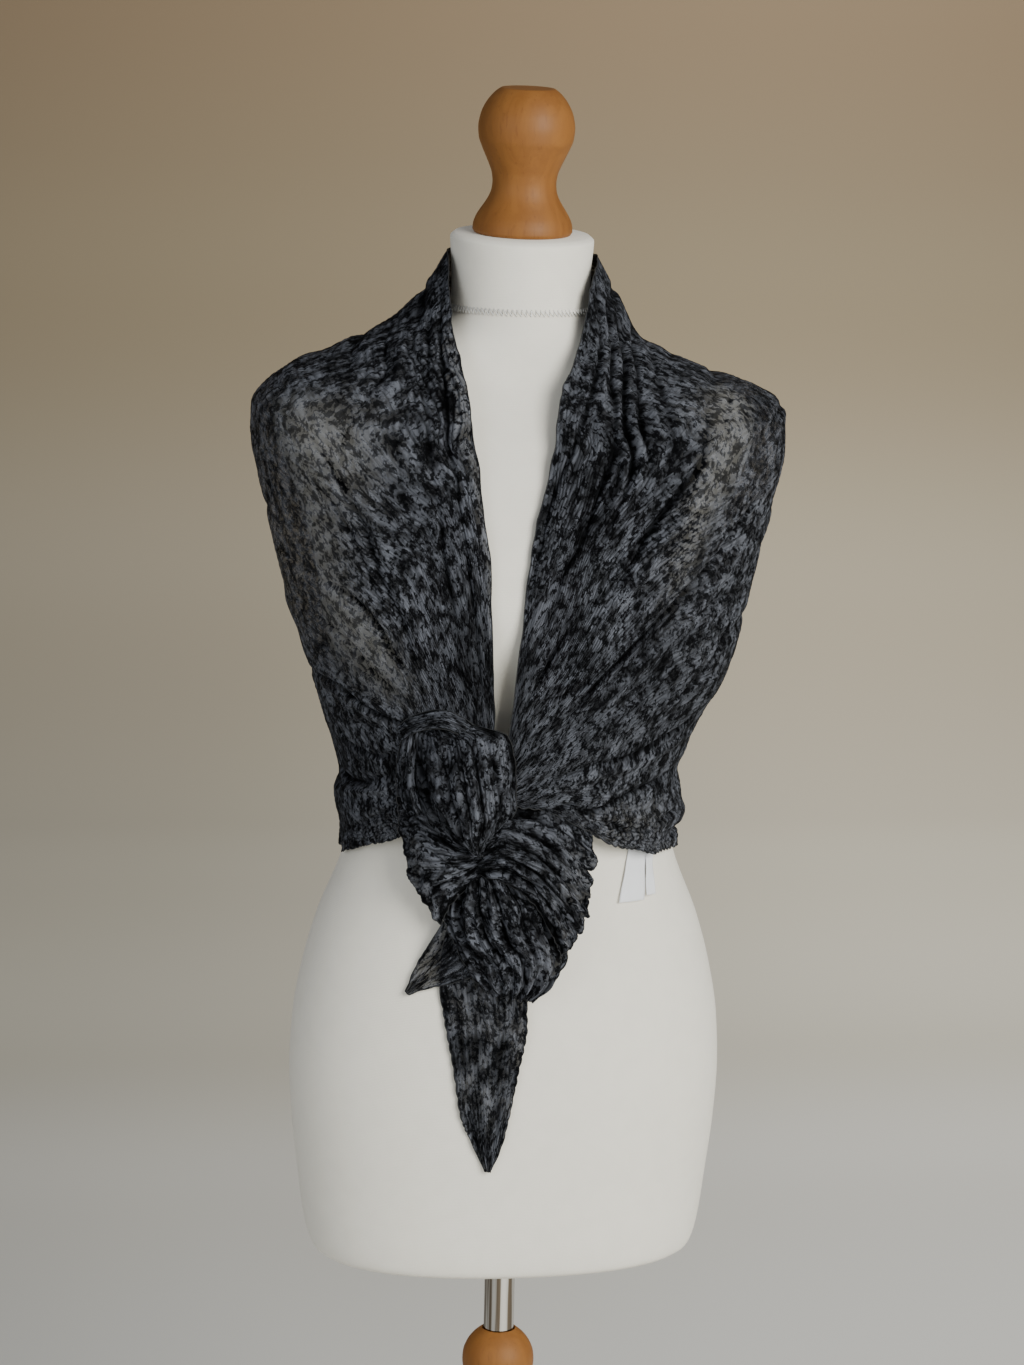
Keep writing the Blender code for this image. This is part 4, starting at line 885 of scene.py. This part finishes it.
def beech_material():
    """Honey-coloured turned beech with a soft gloss."""
    n = Nodes("beech_dressed")
    place = n.place()
    grain = n.noise(n.vectors("MULTIPLY", place, (1, 1, 0.1)), 75, 6, 0.6, 1.2)
    broad = n.noise(n.vectors("MULTIPLY", place, (1, 1, 0.25)), 20, 3, 0.5, 0.8)
    fleck = n.noise(n.vectors("MULTIPLY", place, (1, 1, 0.16)), 420, 2)
    tone = n.mix(n.spread(grain, 0.35, 0.68), (0.226, 0.084, 0.012), (0.274, 0.108, 0.018))
    tone = n.mix(n.spread(broad, 0.35, 0.7, 0, 0.55), tone, (0.206, 0.073, 0.01))
    tone = n.mix(n.spread(fleck, 0.6, 0.72, 0, 0.35), tone, (0.15, 0.046, 0.005))
    n.set(Base_Color=tone, Roughness=n.spread(grain, 0.3, 0.7, 0.56, 0.66),
          Specular_IOR_Level=0.42, Coat_Weight=0.06, Coat_Roughness=0.45)
    n.bump(fleck, 0.12, 0.0003)
    return n.material


def steel_material():
    n = Nodes("steel_dressed")
    brushed = n.noise(n.vectors("MULTIPLY", n.place(), (1, 1, 6)), 180, 4, 0.6)
    # Vertical bands of painted reflection in the base colour, dark brown and pale grey.
    reflection_bands = n.noise(n.vectors("MULTIPLY", n.place(), (1, 1, 0.02)), 230, 2, 0.6)
    tone = n.mix(n.spread(reflection_bands, 0.4, 0.58), (0.17, 0.135, 0.1), (0.6, 0.58, 0.55))
    n.set(Base_Color=tone, Metallic=1.0, Roughness=n.spread(brushed, 0.3, 0.7, 0.05, 0.1))
    n.bump(brushed, 0.05, 0.0002)
    return n.material


def satin_material():
    n = Nodes("satin_tape_dressed")
    place = n.place()
    tone = n.mix(n.noise(place, 120), (0.8, 0.81, 0.84), (0.9, 0.91, 0.93))
    n.set(Base_Color=tone, Roughness=0.38, Sheen_Weight=0.25)
    n.bump(n.bands(place, "DIAGONAL", 620, 0.6), 0.12, 0.0002)
    return n.material


# ---------------------------------------------------------------- the wrap
def amount_at(places, grid):
    """Sum of soft round places, at each point of a grid."""
    x, z = grid[..., 0] / MM, grid[..., 2] / MM
    total = np.zeros(x.shape)
    for row in rows_of(PLACE_COLUMNS, places):
        aside = x - row.x - row.slope * (z - row.z)
        near = (aside / row.half_width) ** 2 + ((z - row.z) / row.half_height) ** 2
        total += row.amount * np.exp(-near)
    return total


def sheer_amount(grid):
    """How far the pale form shows through, at each point of a grid."""
    y, z = grid[..., 1] / MM, grid[..., 2] / MM
    front = blend_in(-y, -30, 30)
    behind = 0.4 * np.exp(-(((z - 560) / 110) ** 2)) * (1 - front)
    return np.clip(amount_at(SHEER_PLACES, grid) * front + behind + 0.06, 0, 1)


def joined(left, right):
    """Rows from the knot round the back to the knot, out of the rows of two halves."""
    return np.concatenate([left, right[-2::-1]])


def make_wrap(chiffon, thread):
    columns = FINE_PLEATS * SAMPLES + 1
    along = np.concatenate([np.linspace(0, BACK_SEAM, FRONT_ROWS + 1),
                            np.linspace(BACK_SEAM, 1, BACK_ROWS + 1)[1:]])
    left, left_creases = wrap_side("left", along, columns)
    right, right_creases = wrap_side("right", along, columns)
    whole = joined(left, right)
    s = distances(whole[:, columns // 2])[:, None]
    v = np.linspace(0, 1, columns)[None, :]
    ridge_and_shade, jag = pleat_pattern(s, v, FINE_PLEATS, 1.2, 40)
    soft = soft_noise(s * 16, v * 26, 50) + 0.6 * soft_noise(s * 38, v * 52, 51)
    relief = MM * ridge_and_shade - 0.3 * MM + 0.75 * MM * soft
    relief = relief * (0.25 + 0.75 * blend_in(v, 0, 0.05))
    hem = blend_in(v, 0.965, 1)
    neck = 1 - blend_in(v, 0, 0.02)
    scallop = np.abs(np.sin(math.pi * (s / HEM_SCALLOP + 0.6 * soft_noise(s * 60, 0, 52))))
    scallop = scallop * (0.6 + 0.4 * soft_noise(s * 30, 0, 53))
    sag = 2.4 * soft_noise(s * 15, 0, 56) + 1.2 * soft_noise(s * 42, 0, 57)
    reach = (2.6 * (scallop - 0.4) + sag) * hem - 0.9 * soft_noise(s * 110, 0, 54) * neck
    stations, left_drop, right_drop = np.array(HEM_DROPS).T
    drop = joined(np.interp(along, stations, left_drop), np.interp(along, stations, right_drop))
    reach = reach + drop[:, None] * blend_in(v, 0.86, 1)
    flare = 1.6 * soft_noise(s * 120, 0, 55) * hem
    down = unit(np.gradient(whole, axis=1))
    grid = (whole + surface_normals(whole) * (relief + flare * MM)[..., None]
            + down * (reach * MM)[..., None])
    creases = joined(left_creases, right_creases)
    # Creases and the listed places add painted shade and painted light to the pleat shading.
    ridge_and_shade = ridge_and_shade + 0.16 * np.clip(creases, -4, 1.5) + amount_at(PAINTED_LIGHT_AND_SHADE_PLACES, whole)
    sheer = sheer_amount(grid)
    place = cloth_place(whole, s, v, 0.3, 0)
    last = len(whole) - 1
    seam_left, seam_right = FRONT_ROWS, last - FRONT_ROWS
    stretches = (("wrap_front_left", "shawl_front_left", 0, seam_left, (0.20, 0.40)),
                 ("wrap_back", "shawl_back", seam_left, seam_right, (0.56, 0.40)),
                 ("wrap_front_right", "shawl_front_right", seam_right, last, (0.23, 0.40)))
    hem_line = edge_tube("wrap_edges", [grid[:, 0], grid[:, -1]], EDGE_RADIUS, thread)
    for name, node, start, end, flat in stretches:
        part = slice(start, end + 1)
        item = add_piece(name, grid[part], grid_faces(end + 1 - start, columns), chiffon)
        set_cloth_data(item, ridge_and_shade[part], jag[part], sheer[part], place[part])
        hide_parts(node)


# ---------------------------------------------------------------- the knot and the ends
def piece_folds(name, t, v, seed):
    """Height in mm of a gathered sheet's listed folds."""
    total = np.zeros(np.broadcast(t, v).shape)
    for row in rows_of(PIECE_FOLD_COLUMNS, PIECE_FOLDS[name]):
        place = row.across + row.lean * (t - 0.5) + row.bend * (t - 0.5) ** 2
        place = place + 0.028 * soft_noise(t * 5, v * 2, seed)
        swell = 0.8 + 0.5 * soft_noise(t * 4 + row.across * 37, 0.5, seed + 1)
        total += (row.height * swell * rise_and_fall(row, t)
                  * np.exp(-((v - place) / row.width) ** 2))
    return total


def edge_reach(name, v):
    total = np.zeros(v.shape)
    for across, width, reach in EDGE_POINTS.get(name, ()):
        total += reach * np.sqrt(np.clip(1 - ((v - across) / width) ** 2, 0, 1))
    return total


def make_gathered(chiffon, thread):
    for row in rows_of(GATHER_COLUMNS, GATHERED):
        columns = row.pleats * SAMPLES + 1
        grid, way = row_grid(row.rows, row.steps, columns)
        s = distances(grid[:, columns // 2])[:, None]
        t = np.linspace(0, 1, row.steps + 1)[:, None]
        v = np.linspace(0, 1, columns)[None, :]
        rim = np.minimum(v, 1 - v)
        seed = row.seed * 10
        ridge_and_shade, jag = pleat_pattern(s, v, row.pleats, row.wander, seed)

        turn = v * row.waves + 0.45 * soft_noise(s * 30, v * 3, seed + 5)
        wave = np.sin(2 * math.pi * turn)
        wave = wave * (0.65 + 0.35 * soft_noise(s * 30, v * row.waves, seed + 6))
        height = row.wave_height + row.ruffle * t ** 2
        relief = row.relief * ridge_and_shade + height * wave * (0.35 + 0.65 * np.clip(rim / 0.06, 0, 1))
        crumple = soft_noise(s * 75, v * row.pleats / 2.5, seed + 7)
        bent = v + 0.02 * soft_noise(s * 45, v * 6, seed + 10)
        crush = soft_noise(s * 105 + 4 * v, bent * row.waves * 2.2, seed + 11)
        relief = relief + 0.6 * crumple + row.crush * (2 * np.abs(crush) - 0.6)
        folds = piece_folds(row.piece, t, v, seed + 4)
        relief = relief + folds
        # Painted shade at the gathered root and along the sides.
        root_and_side_shade = np.exp(-(t / 0.1) ** 2) * row.root_shade
        root_and_side_shade = root_and_side_shade + row.side_shade * np.exp(-(rim / 0.045) ** 2)
        # Folds, crumples and small tucks add painted shade and painted light to the pleat shading.
        ridge_and_shade = ridge_and_shade + 0.2 * np.clip(folds, -3, 1) + 0.5 * crumple - root_and_side_shade
        ridge_and_shade = ridge_and_shade - 0.26 * row.crush * np.exp(-(crush / 0.1) ** 2)
        grid = grid + surface_normals(grid) * (relief * MM)[..., None]

        along = np.stack([way[:, 0], np.zeros(len(way)), way[:, 1]], axis=-1)[:, None, :]
        teeth = v * row.waves * 1.7 + 0.6 * soft_noise(v * 9, 0, seed + 8)
        out = row.end_scallop * (np.abs(np.sin(math.pi * teeth)) - 0.55)
        out = out * (0.6 + 0.4 * np.cos(v * 23))
        out = (out + edge_reach(row.piece, v)) * blend_in(t, 0.72, 1)
        grid = grid + along * (out * MM)[..., None]
        across = unit(np.gradient(grid, axis=1))
        bite = s / SIDE_SCALLOP + 0.8 * soft_noise(s * 50, 0, seed + 9)
        bite = np.abs(np.sin(math.pi * bite)) - 0.5
        edge = blend_in(v, 0.86, 1) - blend_in(1 - v, 0.86, 1)
        bite = row.side_scallop * MM * bite * edge * blend_in(s, 0.012, 0.05)
        grid = grid + across * bite[..., None]

        item = add_piece(row.piece, grid, grid_faces(row.steps + 1, columns), chiffon)
        window = blend_in(rim, 0, 0.16) * (1 - blend_in(t, 0.7, 0.95))
        sheer = row.sheer * (0.25 + 0.75 * window)
        set_cloth_data(item, ridge_and_shade, jag, sheer, cloth_place(grid, s, v, 0.11, row.seed))
        if row.nodes:
            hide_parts(*row.nodes)
        free_edges = [grid[:, 0], grid[-1], grid[:, -1]]
        rolled = edge_tube(row.piece + "_edge", free_edges, EDGE_RADIUS, thread)


# ---------------------------------------------------------------- ribbons under the hem
def make_ribbons(satin):
    rows, columns = 24, 13
    t = np.linspace(0, 1, rows)[:, None]
    w = np.linspace(-1, 1, columns)
    for row in rows_of(LABEL_COLUMNS, LABELS):
        heights = row.top + (row.bottom - row.top) * t
        spread = math.degrees(row.width / HEM_RADIUS) / 2
        grid = torso_ring(heights, np.radians(row.angle + row.lean * t + w * spread))
        curl = row.lift + 1.6 * t ** 2 + 0.5 * np.sin(3 * math.pi * t) * w
        outer = grid + surface_normals(grid) * (curl * MM)[..., None]
        item = add_piece(row.piece, outer, grid_faces(rows, columns), satin)
        wall = item.modifiers.new("wall", "SOLIDIFY")
        wall.thickness = 0.35 * MM
        wall.offset = -1.0
        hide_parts(row.node)


# ---------------------------------------------------------------- the form and its stand
def make_form(jersey, stitches):
    sides = 144
    fine_seam = SEAM_HEIGHT + np.array([-2.5, -1.5, -0.7, 0.5, 1.2, 1.9, 3.3, 4.6])
    heights = np.concatenate([np.linspace(0, 24, 9), np.linspace(30, 640, 62),
                              np.linspace(644, 745, 52), np.linspace(749, 783, 10),
                              fine_seam, np.linspace(785, 791.5, 8)])
    heights = np.unique(np.round(heights, 2))
    rings = torso_ring(heights[:, None], np.arange(sides) * 2 * math.pi / sides)
    seam = np.exp(-((heights - SEAM_HEIGHT) / 1.6) ** 2)
    centre = rings.mean(axis=1, keepdims=True)
    rings = rings - (rings - centre) * (seam * 0.007)[:, None, None]
    faces = grid_faces(len(heights), sides, True)
    last = (len(heights) - 1) * sides
    faces += [(last + sides, (side + 1) % sides, side) for side in range(sides)]
    faces += [(last + side, last + (side + 1) % sides, last + sides + 1) for side in range(sides)]
    points = np.concatenate([rings.reshape(-1, 3), rings[[0, -1]].mean(axis=1)])
    cover = add_piece("form_cover", points, faces, jersey)
    # Painted shade band along the neck seam, read by the cover's material.
    seam_shade = np.exp(-((heights - SEAM_HEIGHT - 0.6) / 1.9) ** 2)
    seam_shade = np.concatenate([np.repeat(seam_shade, sides), [0, 0]])
    layer = cover.data.attributes.new("seam_ground", "FLOAT", "POINT")
    layer.data.foreach_set("value", seam_shade.astype(np.float32))
    cover.data.set_sharp_from_angle(angle=math.radians(50))
    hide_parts("form_torso")

    turns, tall = 96, 4.6
    turn = np.repeat(np.linspace(0, 2 * math.pi, turns + 1), 2)
    line = torso_ring(SEAM_HEIGHT + tall * (np.arange(len(turn)) % 2), turn)
    out = line - np.array([0, -0.002, 0])
    out[:, 2] = 0
    line = line + unit(out) * 0.35 * MM
    row = edge_tube("neck_seam_stitches", [line], 0.62 * MM, stitches)


def lathe(name, profile, material, node, placed):
    """A turned piece with its profile drawn smooth between the table's points."""
    sides, fine = 96, 5
    table = np.asarray(profile, dtype=float) * MM
    stations = distances(table)
    at = np.concatenate([np.linspace(a, b, fine, endpoint=False)
                         for a, b in zip(stations[:-1], stations[1:])] + [stations[-1:]])
    shape = smooth_table(stations, table, at)
    turn = np.arange(sides)[None, :] * 2 * math.pi / sides
    z = np.repeat(shape[:, 1:], sides, axis=1)
    points = np.stack([shape[:, :1] * np.cos(turn), shape[:, :1] * np.sin(turn), z], axis=-1)
    points = points @ np.array(placed.to_3x3()).T + np.array(placed.translation)
    item = add_piece(name, points, grid_faces(len(at), sides, True), material, local=False)
    item.data.set_sharp_from_angle(angle=math.radians(42))
    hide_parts(node)


def make_stand(beech, steel):
    neck = Row(TORSO_COLUMNS, TORSO_SECTIONS[-1])
    top = TORSO_UNDERSIDE + (neck.height + neck.slope * neck.middle_y) * MM + KNOB_GAP
    tilt = Matrix.Translation((0, FORM_AXIS_Y + neck.middle_y * MM, top))
    tilt = tilt @ Matrix.Rotation(math.radians(NECK_TILT), 4, "X")
    upright = Matrix.Translation((0, FORM_AXIS_Y, 0))
    lathe("turned_knob", KNOB_PROFILE, beech, "form_knob", tilt)
    lathe("turned_column", COLUMN_PROFILE, beech, "stand_column", upright)
    low = (COLUMN_TOP - POLE_IN_COLUMN + SEAM) / MM
    high = (TORSO_UNDERSIDE + POLE_IN_TORSO) / MM
    radius = POLE_RADIUS / MM
    tube = ((0, high), (radius - 1, high), (radius, high - 1), (radius, low + 1),
            (radius - 1, low), (0, low))
    lathe("steel_tube", tube, steel, "form_pole", upright)
    for node, heading in (("stand_leg_front", -90), ("stand_leg_left", 150),
                          ("stand_leg_right", 30)):
        make_leg(node, heading, beech)


def make_leg(node, heading, beech):
    """Curved leg between two smooth side lines, its long edges rounded over."""
    inset = COLUMN_RADIUS_AT_LEGS + SEAM
    stretch = (LEG_REACH - inset) / (LEG_UPPER[-1][0] * MM)
    upper, lower = (np.asarray(side, dtype=float) * MM for side in (LEG_UPPER, LEG_LOWER))
    at = np.linspace(0, upper[-1, 0], 60)
    top = smooth_table(upper[:, 0], upper[:, 1:], at)[:, 0]
    smooth = smooth_table(lower[:, 0], lower[:, 1:], at)[:, 0]
    under = np.maximum(smooth, 0) * 0.5 + np.interp(at, lower[:, 0], lower[:, 1]) * 0.5
    half, edge = LEG_THICKNESS / 2, 4 * MM
    turns = np.linspace(0, math.pi / 2, 5)
    corners = [(half - edge + edge * math.cos(turn), up, edge * (math.sin(turn) - 1))
               for up, way in ((1, turns), (-1, math.pi / 2 - turns)) for turn in way]
    section = corners + [(-side, up, drop) for side, up, drop in reversed(corners)]
    points = []
    for reach, high, low in zip(at, top, under):
        for side, up, drop in section:
            height = high + drop if up > 0 else low - drop
            points.append((inset + reach * stretch, side, height))
    count = len(section)
    faces = grid_faces(len(at), count, True)
    faces.append(tuple(reversed(range(count))))
    faces.append(tuple((len(at) - 1) * count + i for i in range(count)))
    turn = Matrix.Translation((0, FORM_AXIS_Y, 0)) @ Matrix.Rotation(math.radians(heading), 4, "Z")
    placed = [tuple(turn @ Vector(point)) for point in points]
    leg = add_piece("curved_" + node[6:], placed, faces, beech, local=False)
    leg.data.set_sharp_from_angle(angle=math.radians(60))
    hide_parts(node)


# ---------------------------------------------------------------- studio
def make_camera():
    pitch, azimuth, roll = (math.radians(angle) for angle in CAMERA_ANGLES)
    back = Vector((math.sin(azimuth) * math.cos(pitch), -math.cos(azimuth) * math.cos(pitch),
                   math.sin(pitch)))
    right = (-back).cross(Vector((0, 0, 1))).normalized()
    up = right.cross(-back)
    level = right * math.cos(roll) + up * math.sin(roll)
    upright = up * math.cos(roll) - right * math.sin(roll)
    matrix = Matrix((level, upright, back)).transposed().to_4x4()
    aim = Vector((0, FORM_AXIS_Y, TORSO_UNDERSIDE + CAMERA_AIM))
    matrix.translation = aim + back * CAMERA_DISTANCE
    lens = bpy.data.cameras.new("camera")
    lens.lens = CAMERA_LENS
    lens.sensor_width = CAMERA_SENSOR
    camera = put("camera", lens)
    camera.matrix_world = matrix
    bpy.context.scene.camera = camera


def make_backdrop():
    """Pale floor that curves up into a wall far behind the form, with painted shade that darkens it
    further back and up, and painted side light.
    """
    turn = np.linspace(0, math.pi / 2, 32)
    depth = np.concatenate([[-7], 4.8 + 1.6 * np.sin(turn), [6.4]])
    height = np.concatenate([[0], 1.6 * (1 - np.cos(turn)), [8]])
    points = [(x, y, z) for y, z in zip(depth, height) for x in (-7, 7)]
    faces = [(2 * row, 2 * row + 1, 2 * row + 3, 2 * row + 2) for row in range(len(depth) - 1)]
    n = Nodes("backdrop")
    x, y, z = n.apart(n.place())
    way_back = n.plus(y, z)
    tone_and_shade = BACKDROP_TONES_AND_SHADE[0][1]
    for (low, _), (high, tone) in zip(BACKDROP_TONES_AND_SHADE[:-1], BACKDROP_TONES_AND_SHADE[1:]):
        tone_and_shade = n.mix(n.spread(way_back, low, high), tone_and_shade, tone)
    # Painted side light: darker at the left and lighter at the right, fading out high on the wall.
    across = n.minus(x, n.times(y, 0.158))
    fade = n.spread(way_back, 5.6, 8.4, 1, 0.15)
    sides = n.times(n.minus(n.spread(across, -0.9, 0.9, *PAINTED_SIDE_LIGHT), 1), fade)
    n.set(Base_Color=n.shaded(tone_and_shade, n.plus(sides, 1)), Roughness=0.9)
    put_mesh("backdrop", points, faces, n.material)


def make_light(name, place, target, size, power, tone):
    lamp = bpy.data.lights.new(name, "AREA")
    lamp.shape = "RECTANGLE"
    lamp.size, lamp.size_y = size
    lamp.energy = power
    lamp.color = tone
    item = put(name, lamp)
    item.location = place
    item.rotation_euler = (Vector(target) - Vector(place)).to_track_quat("-Z", "Y").to_euler()


def make_lights():
    world = bpy.data.worlds.new("studio")
    world.use_nodes = True
    room = world.node_tree.nodes["Background"]
    room.inputs["Color"].default_value = (0.86, 0.88, 0.92, 1.0)
    room.inputs["Strength"].default_value = 0.28
    bpy.context.scene.world = world
    middle = (0, 0.07, 1.05)
    make_light("window", (1.6, -2.8, 2.1), middle, (2, 2), 146, (0.985, 0.99, 0.95))
    make_light("room", (-2.4, -2.2, 1.6), middle, (1.6, 2), 27, (0.88, 0.94, 1))
    make_light("wall_wash", (2, 3.5, 3.4), (0.8, 6.4, 0.9), (1.6, 1.6), 150, (0.96, 0.98, 1))


# ---------------------------------------------------------------- assembly
chiffon = chiffon_material()
thread = thread_material("rolled_edge_thread", INK, CHARCOAL, (260, 1400), (3, 2), 0.4, 0.0004)
stitches = thread_material("seam_thread", (0.94, 0.93, 0.89), (0.97, 0.96, 0.93), (500, 2500),
                           (2, 1), 0.3, 0.0002)
make_form(jersey_material(), stitches)
make_stand(beech_material(), steel_material())
make_wrap(chiffon, thread)
make_gathered(chiffon, thread)
make_ribbons(satin_material())
make_backdrop()
make_camera()
make_lights()
